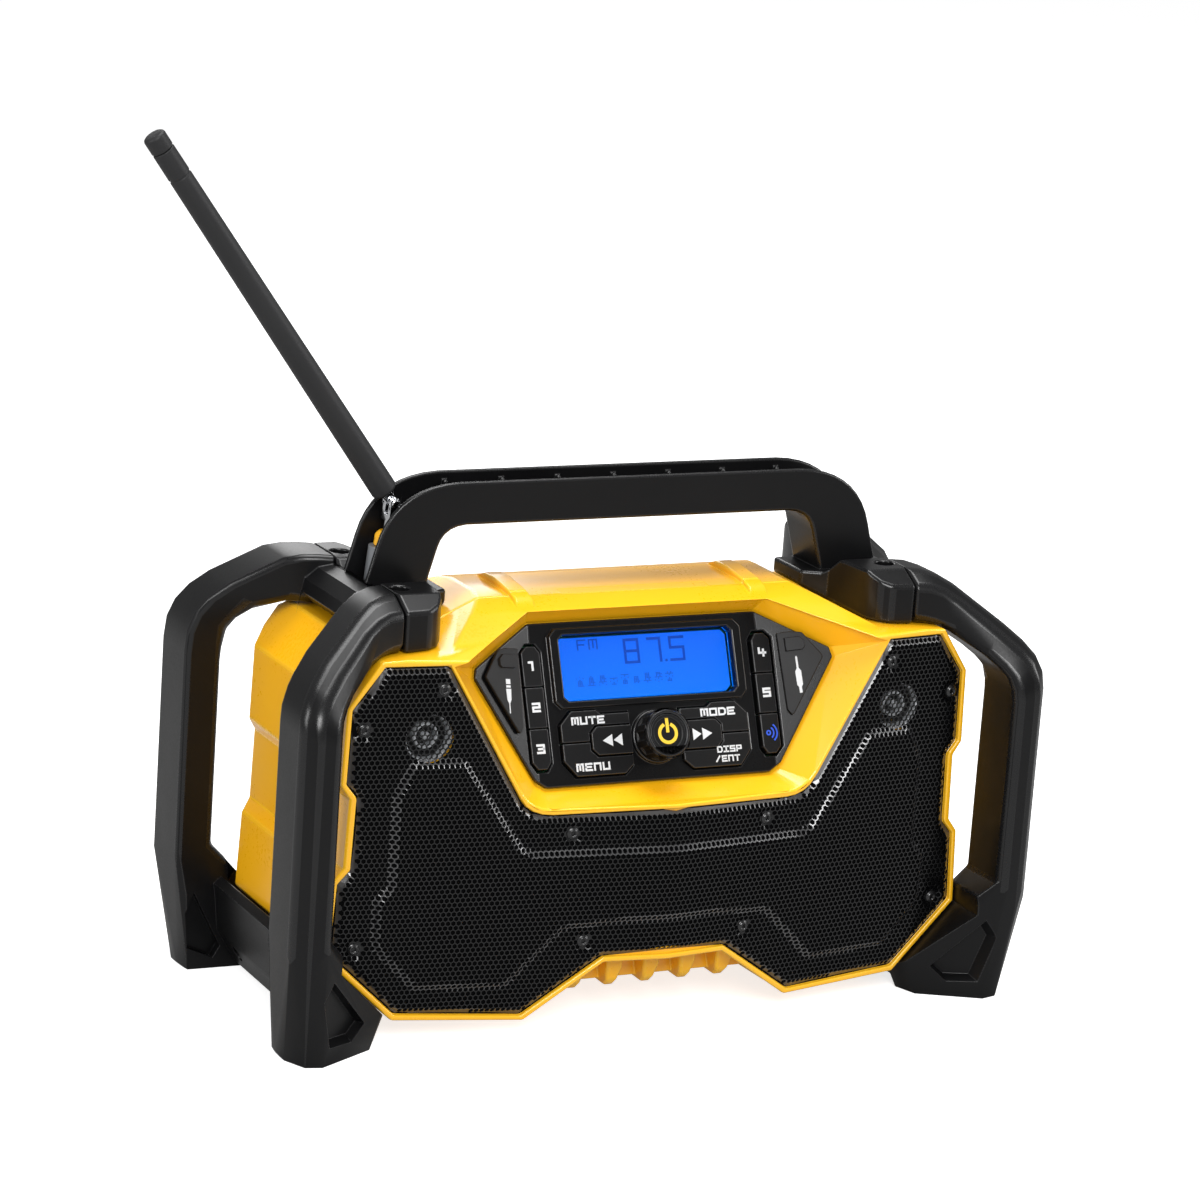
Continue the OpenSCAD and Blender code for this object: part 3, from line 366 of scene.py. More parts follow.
def solid(name, loops, h0, h1, place, material, body, nodes=(), taper=0.0):
    """Flat shapes in mm, each a closed outline, drawn out from height h0 to h1 in the frame of place."""
    bm = bmesh.new()
    for loop in loops:
        area = sum(loop[i - 1][0] * loop[i][1] - loop[i][0] * loop[i - 1][1] for i in range(len(loop)))
        if area < 0:
            loop = loop[::-1]
        a = [bm.verts.new(place @ Vector((x * MM, y * MM, h0 * MM))) for x, y in loop]
        cx = sum(p[0] for p in loop) / len(loop)
        cy = sum(p[1] for p in loop) / len(loop)
        b = [bm.verts.new(place @ Vector(((x - (x - cx) * taper) * MM, (y - (y - cy) * taper) * MM, h1 * MM))) for x, y in loop]
        bm.faces.new(b)
        bm.faces.new(a[::-1])
        for i in range(len(a)):
            j = (i + 1) % len(a)
            bm.faces.new((a[i], a[j], b[j], b[i]))
    bmesh.ops.recalc_face_normals(bm, faces=bm.faces)
    me = bpy.data.meshes.new(name)
    bm.to_mesh(me)
    bm.free()
    return link(name, me, [material], body, nodes)


# ---- stroke lettering -------------------------------------------------------
STROKES = {
    "M": [[(0, 0), (0, 1), (1, 1), (1, 0)], [(0.5, 1), (0.5, 0.15)]], "U": [[(0, 1), (0, 0), (1, 0), (1, 1)]],
    "T": [[(0, 1), (1, 1)], [(0.5, 1), (0.5, 0)]], "E": [[(1, 1), (0, 1), (0, 0), (1, 0)], [(0, 0.5), (0.85, 0.5)]],
    "N": [[(0, 0), (0, 1), (1, 1), (1, 0)]], "O": [[(0, 0), (0, 1), (1, 1), (1, 0), (0, 0)]],
    "D": [[(0, 0), (0, 1), (0.75, 1), (1, 0.78), (1, 0.22), (0.75, 0), (0, 0)]], "I": [[(0, 1), (1, 1)], [(0, 0), (1, 0)], [(0.5, 0), (0.5, 1)]],
    "S": [[(1, 1), (0, 1), (0, 0.5), (1, 0.5), (1, 0), (0, 0)]], "P": [[(0, 0), (0, 1), (1, 1), (1, 0.42), (0, 0.42)]],
    "F": [[(0, 0), (0, 1), (1, 1)], [(0, 0.5), (0.8, 0.5)]], "/": [[(0.1, 0), (0.9, 1)]],
    "1": [[(0.1, 1), (0.6, 1), (0.6, 0)]], "2": [[(0, 1), (1, 1), (1, 0.5), (0, 0.5), (0, 0), (1, 0)]],
    "3": [[(0, 1), (1, 1), (1, 0), (0, 0)], [(0.2, 0.5), (1, 0.5)]], "4": [[(0, 1), (0, 0.4), (1, 0.4)], [(0.68, 0.8), (0.68, 0)]],
    "5": [[(1, 1), (0, 1), (0, 0.55), (1, 0.55), (1, 0), (0, 0)]], "7": [[(0, 1), (1, 1), (1, 0)]],
    "8": [[(0, 0), (0, 1), (1, 1), (1, 0), (0, 0)], [(0, 0.5), (1, 0.5)]], ".": [[(0.1, 0), (0.3, 0)]]}


def ribbon(points, w):
    """The outline of a stroke of width w along points, with mitred corners and square ends."""
    p = [Vector(q) for q in points]
    closed = (p[0] - p[-1]).length < 1e-6
    if closed:
        p = p[:-1]
    n = len(p)
    left, right = [], []
    for i in range(n):
        u = (p[i] - p[i - 1]).normalized() if (closed or i > 0) else (p[1] - p[0]).normalized()
        v = (p[(i + 1) % n] - p[i]).normalized() if (closed or i < n - 1) else u
        a, b = Vector((-u.y, u.x)), Vector((-v.y, v.x))
        m = (a + b) / (1 + a.dot(b))
        q = p[i]
        if not closed and i == 0:
            q = q - u * w / 2
        if not closed and i == n - 1:
            q = q + v * w / 2
        left.append(q + m * w / 2)
        right.append(q - m * w / 2)
    if not closed:
        return [[tuple(q) for q in left + right[::-1]]]
    return [[tuple(q) for q in (left[i], left[(i + 1) % n], right[(i + 1) % n], right[i])] for i in range(n)]


def words(text, x, y, w, h, gap, stroke, slant=0.0):
    """Loops for a line of letters whose lower left corner is x, y."""
    loops = []
    for c in text:
        if c != " ":
            for line in STROKES[c]:
                loops += ribbon([(x + a * (w - stroke) + stroke / 2 + slant * b * h, y + b * (h - stroke) + stroke / 2) for a, b in line], stroke)
        x += w + gap if c not in ".I" else (w * (0.4 if c == "." else 1.0) + gap)
    return loops


def arc(cx, cy, r, a0, a1, n=20):
    return [(cx + r * math.cos(rad(a0 + (a1 - a0) * i / n)), cy + r * math.sin(rad(a0 + (a1 - a0) * i / n))) for i in range(n + 1)]


# ---- rounded copies of the moulded parts --------------------------------------
skin("front_housing", 1.8)
skin("rear_housing", 2.2)
skin("handle", 1.8)


def foot_zone(p):
    """The feet's small facets take a tight radius, the bars a wide one."""
    return 0.16 + 0.84 * min(1.0, max(0.0, (p.z - 0.047) / 0.012))


skin("left_roll_cage", 3.2, angle=27, segments=4, zone=foot_zone)
skin("right_roll_cage", 3.2, angle=27, segments=4, zone=foot_zone)
skin("control_panel", 0.9, angle=10)
for n in ("preset_key_1", "preset_key_2", "preset_key_3", "preset_key_4", "preset_key_5", "source_key",
          "mute_key", "menu_key", "mode_key", "display_key", "seek_down_key", "seek_up_key"):
    skin(n, 0.6, angle=30)
skin("usb_door", 0.5)
skin("aux_door", 0.5)
skin("battery_door", 1.2)
skin("battery_latch", 1.0)
skin("power_button", 0.3, angle=30)
skin("tuning_knob", 0.7, angle=30)
skin("antenna_socket", 0.6, angle=30)
skin("antenna_fork", 0.4, angle=30)
for n in ("housing_screws", "cage_screws", "heat_sink", "power_inlet", "usb_socket", "aux_socket"):
    skin(n, 0.3, angle=30)

# ---- grille -------------------------------------------------------------------
RIM_PROUD = 1.0
G_HALF = [[33.5, 39.8], [74.5, 11.6], [139.3, 15.4], [173.2, 47.4], [171.3, 83.4], [165.2, 90.2], [164, 126.6],
          [169.4, 133.2], [168.4, 170], [153.4, 190.8], [121, 190.8]]
G_HALF += [[81.6 * (1 - t) ** 2 + 76.6 * 2 * t * (1 - t) + 64.5 * t * t, 122.8 * (1 - t) ** 2 + 114 * (1 - (1 - t) ** 2)] for t in (0, 0.25, 0.5, 0.75, 1)]
G_HALF += [[9, 115]]
F_HALF = [[25, 58], [56, 55.5], [84.5, 27], [131, 28], [152.5, 50], [153.5, 74.5], [146, 82.5], [146, 128],
          [137.5, 144.5], [111.5, 144.5], [79, 98], [72, 96]]
SCREWS = [(123.3, 179), (162.4, 160), (53.6, 104.3), (161.5, 50), (44.5, 48.6)]
SCREWS = SCREWS + [(-x, z) for x, z in SCREWS]


def whole(h):
    return np.array(h + [[-x, z] for x, z in h[::-1]], float)


def rounded(poly, r, n=5, skip=()):
    """The outline with each corner replaced by an arc of about radius r."""
    out = []
    k = len(poly)
    for i in range(k):
        a, b, c = (Vector(poly[i - 1]), Vector(poly[i]), Vector(poly[(i + 1) % k]))
        u, v = (a - b), (c - b)
        t = min(r * math.tan((math.pi - u.angle(v)) / 2), 0.45 * u.length, 0.45 * v.length)
        p, q = b + u.normalized() * t, b + v.normalized() * t
        for j in range(n + 1):
            s = j / n
            out.append(tuple(p * (1 - s) ** 2 + b * 2 * s * (1 - s) + q * s ** 2))
    return np.array(out)


def inside(poly, pts):
    x, y = pts[:, 0], pts[:, 1]
    hit = np.zeros(len(pts), bool)
    for i in range(len(poly)):
        (x0, y0), (x1, y1) = poly[i - 1], poly[i]
        cross = ((y0 > y) != (y1 > y)) & (x < (x1 - x0) * (y - y0) / (y1 - y0 + 1e-12) + x0)
        hit ^= cross
    return hit


def distance(poly, pts):
    """Distance to the outline, positive inside."""
    best = np.full(len(pts), 1e9)
    for i in range(len(poly)):
        a, b = poly[i - 1], poly[i]
        ab = b - a
        t = np.clip(((pts - a) @ ab) / (ab @ ab + 1e-12), 0, 1)
        best = np.minimum(best, np.linalg.norm(pts - (a + t[:, None] * ab), axis=1))
    return np.where(inside(poly, pts), best, -best)


def ease(t):
    t = np.clip(t, 0, 1)
    return t * t * (3 - 2 * t)


OUT = rounded(whole(G_HALF), 5.0)
FIELD = rounded(whole(F_HALF), 6.0)
OUT_IN = OUT.copy()


def sheet_y(pts):
    """The sheet's front face: folded along the middle, embossed, rolled back at its edge and dished at the screws."""
    x = pts[:, 0]
    fold = np.sqrt(x * x + 36.0)
    y = -87.5 + 0.115 * fold
    y = y - 2.5 * ease((distance(FIELD, pts) + 1.0) / 4.8)
    y = y + 2.7 * (1 - ease(distance(OUT, pts) / 5.2)) ** 1.3
    for sx, sz in SCREWS:
        r = np.hypot(x - sx, pts[:, 1] - sz)
        y = y + 1.2 * (1 - ease((r - 3.4) / 3.2))
    return y


PITCH = 2.7
rows = int(200 / (PITCH * 0.866))
centres = []
for j in range(rows):
    z = 6 + j * PITCH * 0.866
    for i in range(-70, 71):
        centres.append((i * PITCH + (j % 2) * PITCH / 2, z))
centres = np.array(centres)
keep = (distance(OUT, centres) > PITCH * 0.62 + 0.5)
for sx, sz in SCREWS:
    keep &= np.hypot(centres[:, 0] - sx, centres[:, 1] - sz) > 3.6
centres = centres[keep]
R_OUT = PITCH / math.sqrt(3)
R_IN = R_OUT * 0.79
ring = np.array([(math.cos(rad(30 + 60 * k)), math.sin(rad(30 + 60 * k))) for k in range(6)])
corner = {}
points = []


def corner_id(x, z):
    key = (round(x * 50), round(z * 50))
    for dx in (-1, 0, 1):
        for dz in (-1, 0, 1):
            if (key[0] + dx, key[1] + dz) in corner:
                return corner[(key[0] + dx, key[1] + dz)]
    corner[key] = len(points)
    points.append((x, z))
    return corner[key]


cells = [[corner_id(cx + R_OUT * rx, cz + R_OUT * rz) for rx, rz in ring] for cx, cz in centres]
edge_use = {}
for cell in cells:
    for k in range(6):
        e = (min(cell[k], cell[(k + 1) % 6]), max(cell[k], cell[(k + 1) % 6]))
        edge_use[e] = edge_use.get(e, 0) + 1
border = [e for e, n in edge_use.items() if n == 1]
# the plain strip between the holes and the sheet's outline, and round the screws
base_count = len(points)
used = sorted({v for e in border for v in e})
local = {v: i for i, v in enumerate(used)}
cdt_in = [Vector(points[v]) for v in used] + [Vector(p) for p in OUT]
cdt_edges = [(local[a], local[b]) for a, b in border] + [(len(used) + i, len(used) + (i + 1) % len(OUT)) for i in range(len(OUT))]
vs, es, fs, ov, oe, of_ = geometry.delaunay_2d_cdt(cdt_in, cdt_edges, [], 0, 1e-4)
vs = np.array([tuple(v) for v in vs])
tri_mid = np.array([vs[list(f)].mean(0) for f in fs])
good = distance(OUT, tri_mid) > 0
ckd = kdtree.KDTree(len(centres))
for i, c in enumerate(centres):
    ckd.insert((c[0], c[1], 0), i)
ckd.balance()
for i, m in enumerate(tri_mid):
    if good[i]:
        _, k, d = ckd.find((m[0], m[1], 0))
        if d < R_OUT * 1.001:
            # inside the nearest hexagon?
            dx, dz = m - centres[k]
            if max(abs(dx), abs(dx * 0.5 + dz * 0.8660254), abs(dx * 0.5 - dz * 0.8660254)) < PITCH / 2 + 0.02:
                good[i] = False
verts2 = list(points) + [tuple(v) for v in vs]
faces = []
for i, f in enumerate(fs):
    if good[i]:
        faces.append(tuple(base_count + k for k in f))
front = np.array(verts2)
y_front = sheet_y(front)
co = [(x, y, z) for (x, z), y in zip(front, y_front)]
inner_start = len(co)
inner = (centres[:, None, :] + R_IN * ring[None, :, :]).reshape(-1, 2)
y_in = sheet_y(inner)
co += [(x, y, z) for (x, z), y in zip(inner, y_in)]
back_start = len(co)
THICK = 0.8
co += [(x, y + THICK, z) for (x, z), y in zip(inner, y_in)]
for c, cell in enumerate(cells):
    a = inner_start + c * 6
    b = back_start + c * 6
    for k in range(6):
        j = (k + 1) % 6
        faces.append((cell[k], cell[j], a + j, a + k))
        faces.append((a + k, a + j, b + j, b + k))
# the rolled edge
rim = [(x, float(y) + 0.1, z) for (x, z), y in zip(OUT, sheet_y(OUT))]
r0 = len(co)
co += rim
r1 = len(co)
co += [(x, y + 2.2, z) for x, y, z in rim]
for i in range(len(OUT)):
    j = (i + 1) % len(OUT)
    faces.append((r0 + i, r0 + j, r1 + j, r1 + i))
me = bpy.data.meshes.new("grille_sheet")
me.from_pydata([(x * MM, y * MM, z * MM) for x, y, z in co], [], faces)
bm = bmesh.new()
bm.from_mesh(me)
bmesh.ops.remove_doubles(bm, verts=bm.verts, dist=2e-5)
for f in bm.faces:
    f.smooth = False
bm.to_mesh(me)
bm.free()
grille = link("grille_sheet", me, [GRILLE, GRILLE_SLOPE_PAINTED_HIGHLIGHT], "radio_body", ("speaker_grille",))
# the drawn slopes of the sheet take a lighter, glossier copy of the lacquer: a painted highlight for the light these
# slopes catch
mids = np.zeros(len(me.polygons) * 3)
me.polygons.foreach_get("center", mids)
mids = mids.reshape(-1, 3)[:, (0, 2)] / MM
from_field, from_edge = distance(FIELD, mids), distance(OUT, mids)
me.polygons.foreach_set("material_index", (((from_field > -0.6) & (from_field < 3.2)) | ((from_edge > 0.4) & (from_edge < 3.6))).astype(np.int32))

# a near-black sheet behind the holes, painted shade standing in for the dark inside of the radio, open in front of the
# tweeters
hole = [(129.5, 155.0), (-129.5, 155.0)]
gx, gz = np.meshgrid(np.arange(-172, 173, 4.0), np.arange(12, 190, 4.0))
grid = np.c_[gx.ravel(), gz.ravel()]
ok = distance(OUT, grid) > 3.0
for hx, hz in hole:
    ok &= np.hypot(grid[:, 0] - hx, grid[:, 1] - hz) > 15.0
grid = grid[ok]
loops = [OUT * 1.0]
shrunk = np.array([(x * 0.9985, 100 + (z - 100) * 0.9975) for x, z in OUT])
circ = [np.array([(hx + 11.9 * math.cos(t), hz + 11.9 * math.sin(t)) for t in np.linspace(0, 2 * math.pi, 33)[:-1]]) for hx, hz in hole]
pin, pe = [Vector(p) for p in grid], []
for lp in [shrunk] + circ:
    s = len(pin)
    pin += [Vector(p) for p in lp]
    pe += [(s + i, s + (i + 1) % len(lp)) for i in range(len(lp))]
vs, es, fs, *_ = geometry.delaunay_2d_cdt(pin, pe, [], 0, 1e-4)
vs = np.array([tuple(v) for v in vs])
mid = np.array([vs[list(f)].mean(0) for f in fs])
ok = distance(shrunk, mid) > 0
for hx, hz in hole:
    ok &= np.hypot(mid[:, 0] - hx, mid[:, 1] - hz) > 11.8
me = bpy.data.meshes.new("grille_painted_shade_sheet")
yy = np.minimum(sheet_y(vs) + 1.0, -84.98 + 0.115 * np.abs(vs[:, 0]))
me.from_pydata([(x * MM, y * MM, z * MM) for (x, z), y in zip(vs, yy)], [], [tuple(f) for f, k in zip(fs, ok) if k])
shade_sheet = link("grille_painted_shade_sheet", me, [SHADE_SHEET], "radio_body")
smooth(shade_sheet, False)


# bright trim rings of the tweeters, seen through the holes
for s in (-1, 1):
    TWEETER_AT = Matrix.Translation((s * 0.1295, -0.0602, 0.155)) @ Matrix.Rotation(rad(90), 4, "X")
    side = "left" if s < 0 else "right"
    lathe("tweeter_trim_" + side, [(10.4, 0.0), (12.9, 0.0), (12.9, 8.8), (12.6, 9.4), (11.6, 9.4), (10.9, 8.4), (10.4, 1.2)],
          TWEETER_AT, TRIM, "radio_body", (), 48, closed=True)
    lathe("tweeter_cone_" + side, [(0, 0.2), (10.2, 0.2), (10.2, 6.4), (9.6, 6.6), (8.2, 3.4), (6.9, 2.2), (0, 2.2)],
          TWEETER_AT, INNER, "radio_body", (), 48)
    lathe("tweeter_dome_" + side, [(5.0, 2.0), (6.6, 2.0), (6.6, 6.4), (6.1, 7.2), (5.4, 7.0), (5.0, 6.0)],
          TWEETER_AT, TRIM, "radio_body", (), 48, closed=True)
    lathe("tweeter_cap_" + side, [(0, 2.0), (2.0, 2.0), (2.0, 6.8), (1.6, 7.5), (0.9, 7.9), (0, 8.0)],
          TWEETER_AT, TRIM, "radio_body", (), 32)


# grille screws: flanged heads with a six-sided recess
def screw_head(x, y, z, r, h, drive, direction, up, bm):
    """A screw head, its axis along direction, standing on the point given."""
    d = Vector(direction).normalized()
    u = Vector(up).normalized()
    w = d.cross(u)
    at = Vector((x, y, z)) * MM

    def P(rr, hh, t):
        return at + d * hh * MM + (u * math.cos(t) + w * math.sin(t)) * rr * MM
    n = 36
    profile = [(r, 0), (r, h * 0.35), (r * 0.93, h * 0.62), (r * 0.78, h * 0.72), (r * 0.72, h * 0.78), (r * 0.66, h), (r * 0.56, h * 1.06)]
    rings = [[bm.verts.new(P(rr, hh, 2 * math.pi * i / n)) for i in range(n)] for rr, hh in profile]
    # six-lobed recess
    def lobe(t):
        return drive * (1 + 0.16 * math.cos(6 * t))
    rings.append([bm.verts.new(P(lobe(2 * math.pi * i / n), h * 1.04, 2 * math.pi * i / n)) for i in range(n)])
    rings.append([bm.verts.new(P(lobe(2 * math.pi * i / n) * 0.94, h * 0.2, 2 * math.pi * i / n)) for i in range(n)])
    for a, b in zip(rings, rings[1:]):
        for i in range(n):
            j = (i + 1) % n
            bm.faces.new((a[i], a[j], b[j], b[i]))
    bm.faces.new(rings[-1])
    bm.faces.new(rings[0][::-1])


bm = bmesh.new()
for sx, sz in SCREWS:
    y = float(sheet_y(np.array([[sx, sz]]))[0])
    screw_head(sx, y + 0.5, sz, 3.2, 1.6, 1.35, (math.copysign(0.114, sx) * 1.0, -0.993, 0), (0, 0, 1), bm)
bmesh.ops.recalc_face_normals(bm, faces=bm.faces)
me = bpy.data.meshes.new("grille_screw_heads")
bm.to_mesh(me)
bm.free()
ob = link("grille_screw_heads", me, [SCREW], "radio_body", ("grille_screws",))
smooth(ob)

bm = bmesh.new()
for sx in (-134.5, 134.5):
    for sy in (-37.2, 37.2):
        screw_head(sx, sy, 213.05, 4.3, 2.0, 1.9, (0, 0, 1), (1, 0, 0), bm)
bmesh.ops.recalc_face_normals(bm, faces=bm.faces)
me = bpy.data.meshes.new("handle_screw_heads")
bm.to_mesh(me)
bm.free()
ob = link("handle_screw_heads", me, [SCREW], "radio_body", ("handle_screws",))
smooth(ob)

# ---- antenna ------------------------------------------------------------------
L = 223.0
R0, R1 = 6.6, 5.6


def whip_r(h):
    return R0 + (R1 - R0) * max(0, h - 12) / (L - 9 - 12)


profile = [(0, 6.4), (R0 - 1.6, 6.4), (R0 - 0.7, 6.7), (R0 - 0.15, 7.3), (R0, 8.2), (R0, 12)]
profile += [(whip_r(h), h) for h in range(30, 200, 18)]
g = L - 24
profile += [(whip_r(g - 0.9), g - 0.9), (whip_r(g) - 0.5, g - 0.4), (whip_r(g) - 0.5, g + 0.4), (whip_r(g + 0.9), g + 0.9),
            (R1, L - 9.6), (R1 - 0.5, L - 9.1), (R1 - 0.6, L - 9.0), (0, L - 9.0)]
lathe("whip_cover", profile, WHIP_AT, WHIP, "whip", (), 56)
lathe("whip_end", [(0, L - 8.9), (R1 - 0.6, L - 8.9), (R1 - 0.5, L - 8.5), (R1, L - 8.1), (R1, L - 1.6), (R1 - 0.35, L - 0.7), (R1 - 1.2, L - 0.15), (R1 - 2.2, L), (0, L)],
      WHIP_AT, WHIP, "whip", ("antenna_tip",), 56)
# the steel root of the whip in the fork
bm = bmesh.new()
outline = [(-2.2, 6.6), (-2.3, 0)] + [(2.7 * math.sin(rad(a)), -2.7 * math.cos(rad(a))) for a in range(-60, 61, 12)] + [(2.3, 0), (2.2, 6.6)]
a = [bm.verts.new(WHIP_AT @ Vector((x * MM, -1.8 * MM, z * MM))) for x, z in outline]
b = [bm.verts.new(WHIP_AT @ Vector((x * MM, 1.8 * MM, z * MM))) for x, z in outline]
bm.faces.new(a)
bm.faces.new(b[::-1])
for i in range(len(a)):
    j = (i + 1) % len(a)
    bm.faces.new((a[i], b[i], b[j], a[j]))
bmesh.ops.recalc_face_normals(bm, faces=bm.faces)
bmesh.ops.bevel(bm, geom=bm.edges[:], offset=0.0003, segments=2, affect="EDGES", profile=0.5)
me = bpy.data.meshes.new("whip_root")
bm.to_mesh(me)
bm.free()
ob = link("whip_root", me, [CHROME], "whip", ("antenna_whip",))
smooth(ob)
# domed pin heads on the fork's cheeks
PIN_AT = Matrix.Translation(PIV) @ Matrix.Rotation(rad(90), 4, "X")
lathe("fork_pin", [(0, -5.5), (0.9, -5.4), (1.8, -5.1), (2.1, -4.75), (1.2, -4.72), (1.2, 4.72), (2.1, 4.75), (1.8, 5.1), (0.9, 5.4), (0, 5.5)],
      PIN_AT, CHROME, "radio_body", ("antenna_pin",), 32)
# yellow collar with a domed top
lathe("mast_collar", [(3.1, -22.3), (5.6, -22.3), (6.0, -21.9), (6.0, -17.4), (5.7, -16.6), (5.0, -15.6), (4.0, -14.7), (3.1, -14.5)],
      MAST_AT, YELLOW, "radio_body", ("antenna_collar",), 40, closed=True)

# the latch's coil spring, built at one length; the real spring shortens as the latch is pushed down
bm = bmesh.new()
TURNS, STEPS, WIRE, COIL = 7, 26, 0.32, 1.5
z0, z1 = 150.6, 167.2
count = TURNS * STEPS
rings = []
for i in range(count + 1):
    t = i / count
    # flat end turns, open turns between them
    rise = z0 + (z1 - z0) * (0.04 * min(1, t * TURNS) + 0.92 * min(1, max(0, (t * TURNS - 1) / (TURNS - 2))) + 0.04 * min(1, max(0, t * TURNS - TURNS + 1)))
    a = 2 * math.pi * i / STEPS
    out_v = Vector((math.cos(a), math.sin(a), 0))
    mid_v = Vector((-26.5, 60.4, rise)) + out_v * COIL
    rings.append([bm.verts.new((mid_v + out_v * WIRE * math.cos(2 * math.pi * k / 8) + Vector((0, 0, WIRE * math.sin(2 * math.pi * k / 8)))) * MM) for k in range(8)])
for a, b in zip(rings, rings[1:]):
    for k in range(8):
        bm.faces.new((a[k], a[(k + 1) % 8], b[(k + 1) % 8], b[k]))
bm.faces.new(rings[0][::-1])
bm.faces.new(rings[-1])
bmesh.ops.recalc_face_normals(bm, faces=bm.faces)
me = bpy.data.meshes.new("latch_coil")
bm.to_mesh(me)
bm.free()
coil = link("latch_coil", me, [STEEL], BODY["latch_spring"], ("latch_spring",))
smooth(coil, False)
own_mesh(coil)

# ---- legends ------------------------------------------------------------------
TOP = 1.8 + 0.02


def legend(name, loops, z, place, body, material=LEGEND, tall=0.14):
    return solid(name, loops, z, z + tall, place, material, body)


legend("mute_legend", words("MUTE", -46, -10.0, 4.1, 4.0, 0.6, 0.95), TOP, PANEL_AT, "mute_key_body")
legend("menu_legend", words("MENU", -46, -33.0, 4.1, 4.0, 0.7, 0.95), TOP, PANEL_AT, "menu_key_body")
legend("mode_legend", words("MODE", 25.5, -10.0, 4.4, 4.0, 0.6, 0.95), TOP, PANEL_AT, "mode_key_body")
legend("disp_legend", words("DISP", 32.5, -28.6, 3.1, 3.3, 0.5, 0.75) + words("/ENT", 31.0, -33.3, 3.1, 3.3, 0.5, 0.75), TOP, PANEL_AT, "display_key_body")
for text, x, q, body in (("1", -64, 20.5, "preset_key_1_body"), ("2", -64, 0, "preset_key_2_body"), ("3", -64, -20.5, "preset_key_3_body"),
                         ("4", 64.2, 20.5, "preset_key_4_body"), ("5", 64.2, 0, "preset_key_5_body")):
    legend("preset_legend_" + text, words(text, x - 2.3, q - 2.4, 4.6, 4.8, 0, 1.15), TOP, PANEL_AT, body)
# a plain source mark: a ring with two waves
legend("source_legend", ribbon(arc(62.6, -20.4, 1.0, 0, 360, 16), 0.8) + ribbon(arc(62.6, -20.4, 2.9, -50, 50, 8), 0.8) + ribbon(arc(62.6, -20.4, 4.8, -50, 50, 10), 0.8),
       TOP, PANEL_AT, "source_key_body", LEGEND_BLUE)
for s, body in ((-1, "seek_down_key_body"), (1, "seek_up_key_body")):
    tri = [[(s * 19.6, -21.6), (s * 19.6, -15.6), (s * 24.4, -18.6)], [(s * 25.0, -21.6), (s * 25.0, -15.6), (s * 30.4, -18.6)]]
    legend("seek_legend_" + ("left" if s < 0 else "right"), tri, 2.6 + 0.02, PANEL_AT, body)
# power symbol
BUTTON_AT = PANEL_AT @ Matrix.Translation((0, KNOB_Q * MM, (KNOB_H - 1.9) * MM))
legend("power_legend", ribbon(arc(0, 0, 4.6, 122, 418, 36), 1.7) + ribbon([(0, 1.2), (0, 6.6)], 1.7), 0.92, BUTTON_AT, "power_button_body", POWER)
# plug signs on the flaps
jack = [[(x, y + 4.0) for x, y in ((17.0, 33.5), (18.4, 33.5), (18.4, 36.5), (19.2, 37.6), (19.2, 44.6), (18.5, 45.6), (18.2, 46.2), (18.2, 51.6), (17.7, 52.4), (17.2, 51.6), (17.2, 46.2), (16.9, 45.6), (16.2, 44.6), (16.2, 37.6), (17.0, 36.5))]]
usb = [[(17.4, 33.5), (18.0, 33.5), (18.0, 38.5), (19.0, 40.2), (19.3, 45.6), (16.1, 45.6), (16.4, 40.2), (17.4, 38.5)],
       [(16.3, 46.2), (19.1, 46.2), (19.1, 47.3), (16.3, 47.3)], [(16.3, 47.9), (19.1, 47.9), (19.1, 50.4), (16.3, 50.4)]]
usb = [[(x, y + 3.3) for x, y in loop] for loop in usb]
legend("jack_legend", jack, 2.22, WING_AT, "aux_flap")
legend("usb_legend", usb, 2.22, MIRROR @ WING_AT, "usb_flap")
# raised grip tabs at the tops of the flaps
tab = [[(12.6, 59.0), (21.6, 59.0), (23.0, 60.4), (23.0, 63.6), (20.6, 66.0), (12.6, 66.0)]]
for s, body in ((1, "aux_flap"), (-1, "usb_flap")):
    solid("flap_grip_" + ("right" if s > 0 else "left"), tab, 2.1, 3.3, SIDES[s] @ WING_AT, FLAP, body, taper=0.1)

# display characters, just in front of the lit panel
ZL = -3.35
chars = words("FM", -36.0, 27.4, 5.0, 5.3, 1.4, 0.75)
for c, x, w in (("8", -10.5, 8.6), ("7", 2.6, 7.8), ("5", 14.8, 8.6)):
    chars += words(c, x, 19.3, w, 12.6, 0, 1.35)
chars += [[(12.0, 19.3), (13.3, 19.3), (13.3, 20.6), (12.0, 20.6)]]
# a line of small dot characters, nine cells of five by seven dots
cells_on = [0x1E, 0x11, 0x0E, 0x04, 0x0E, 0x1F, 0x0E, 0x0A, 0x04]
dots = []
for i in range(9):
    for j in range(7):
        for k in range(5):
            if (cells_on[(i * 5 + j * 2) % 9] >> k) & 1 and not (i in (3, 5) and j > 4):
                x0, y0 = -38.5 + i * 6.2 + k * 0.92, 9.3 + j * 0.74
                dots.append([(x0, y0), (x0 + 0.66, y0), (x0 + 0.66, y0 + 0.56), (x0, y0 + 0.56)])
solid("display_characters", chars, ZL, ZL + 0.06, PANEL_AT, DIGITS, "radio_body")
solid("display_dots", dots, ZL, ZL + 0.06, PANEL_AT, DIGITS, "radio_body")

# ---- stage, lights and camera ---------------------------------------------------
FLOOR = plastic("studio_floor", (0.70, 0.70, 0.70, 1), (0.73, 0.73, 0.73, 1), 0.85, swing=0.04, grain=60, bump=0.00001, specular=0.1)
glow = FLOOR.node_tree.nodes["Principled BSDF"]
glow.inputs["Emission Color"].default_value = (1, 1, 1, 1)
glow.inputs["Emission Strength"].default_value = 0.76
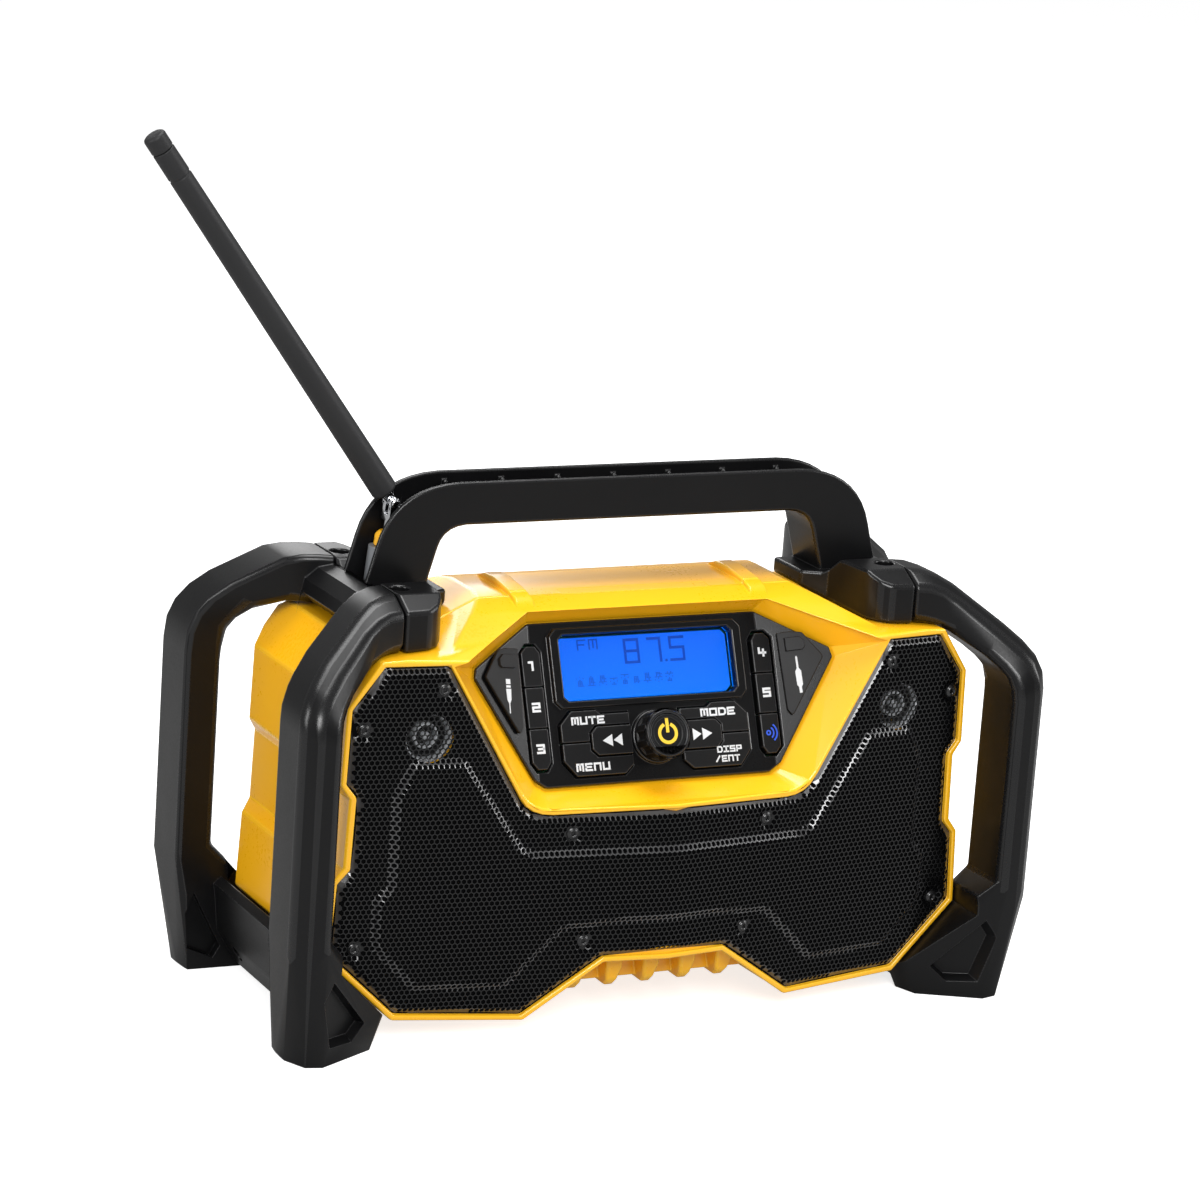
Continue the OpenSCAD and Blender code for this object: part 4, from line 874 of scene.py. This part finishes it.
# the floor lights and mirrors in the object less than it shows itself
dim = put(FLOOR.node_tree, "ShaderNodeBsdfPrincipled", 0, -500)
dim.inputs["Base Color"].default_value = (0.34, 0.34, 0.34, 1)
dim.inputs["Roughness"].default_value = 0.85
dim.inputs["Emission Color"].default_value = (1, 1, 1, 1)
dim.inputs["Emission Strength"].default_value = 0.12
ray = put(FLOOR.node_tree, "ShaderNodeLightPath", 0, 400)
both = put(FLOOR.node_tree, "ShaderNodeMixShader", 300, 0)
FLOOR.node_tree.links.new(ray.outputs["Is Camera Ray"], both.inputs[0])
FLOOR.node_tree.links.new(dim.outputs["BSDF"], both.inputs[1])
FLOOR.node_tree.links.new(glow.outputs["BSDF"], both.inputs[2])
FLOOR.node_tree.links.new(both.outputs[0], FLOOR.node_tree.nodes["Material Output"].inputs["Surface"])
bm = bmesh.new()
n = 12
rows_v = []
for i in range(n + 1):
    t = i / n
    rows_v.append([bm.verts.new((-6 + 12 * k / 8, 4.5 - 9.5 * t, 0)) for k in range(9)])
for i in range(n):
    for k in range(8):
        bm.faces.new((rows_v[i][k], rows_v[i + 1][k], rows_v[i + 1][k + 1], rows_v[i][k + 1]))
bmesh.ops.recalc_face_normals(bm, faces=bm.faces)
me = bpy.data.meshes.new("studio_floor")
bm.to_mesh(me)
bm.free()
floor = bpy.data.objects.new("studio_floor", me)
me.materials.append(FLOOR)
bpy.context.scene.collection.objects.link(floor)

world = bpy.data.worlds.new("studio")
bpy.context.scene.world = world
world.use_nodes = True
bg = world.node_tree.nodes["Background"]
bg.inputs["Color"].default_value = (1, 1, 1, 1)
# a white backdrop that gives the room only part of its light
path = world.node_tree.nodes.new("ShaderNodeLightPath")
level = world.node_tree.nodes.new("ShaderNodeMapRange")
level.inputs["To Min"].default_value = 0.30
level.inputs["To Max"].default_value = 1.02
world.node_tree.links.new(path.outputs["Is Camera Ray"], level.inputs["Value"])
world.node_tree.links.new(level.outputs["Result"], bg.inputs["Strength"])


def softbox(name, at, to, w, h, watts, colour=(1, 1, 1)):
    d = bpy.data.lights.new(name, "AREA")
    d.shape = "RECTANGLE"
    d.size, d.size_y = w, h
    d.energy = watts
    d.color = colour
    ob = bpy.data.objects.new(name, d)
    ob.location = at
    ob.rotation_euler = (Vector(to) - Vector(at)).to_track_quat("-Z", "Y").to_euler()
    bpy.context.scene.collection.objects.link(ob)
    return ob


softbox("key_light", (-0.7, -2.1, 1.5), (0, 0, 0.12), 1.0, 0.9, 44)
softbox("top_light", (0.1, 0.1, 1.9), (0, 0, 0.1), 1.2, 1.0, 30)
softbox("left_light", (-1.9, -0.2, 0.9), (0, 0, 0.12), 0.5, 1.0, 14)
softbox("right_light", (1.8, -0.9, 1.0), (0, 0, 0.12), 0.6, 1.0, 15)

softbox("rear_light", (0.5, 2.2, 1.1), (0, 0, 0.12), 1.0, 0.8, 10)

az, el, roll = rad(27.1367), rad(14.2094), rad(4.0577)
back = Vector((-math.sin(az) * math.cos(el), -math.cos(az) * math.cos(el), math.sin(el)))
right = (-back).cross(Vector((0, 0, 1))).normalized()
up = right.cross(-back)
R = right * math.cos(roll) + up * math.sin(roll)
U = -right * math.sin(roll) + up * math.cos(roll)
cam_data = bpy.data.cameras.new("photo_camera")
cam_data.sensor_width = 36.0
cam_data.sensor_fit = "HORIZONTAL"
cam_data.lens = 127.7202
cam_data.clip_end = 50
cam = bpy.data.objects.new("photo_camera", cam_data)
m = Matrix((R, U, back)).transposed().to_4x4()
m.translation = Vector((-0.95348, -1.84696, 0.72439))
cam.matrix_world = m
bpy.context.scene.collection.objects.link(cam)
bpy.context.scene.camera = cam
bpy.context.scene.view_settings.view_transform = "Standard"
bpy.context.scene.view_settings.look = "None"
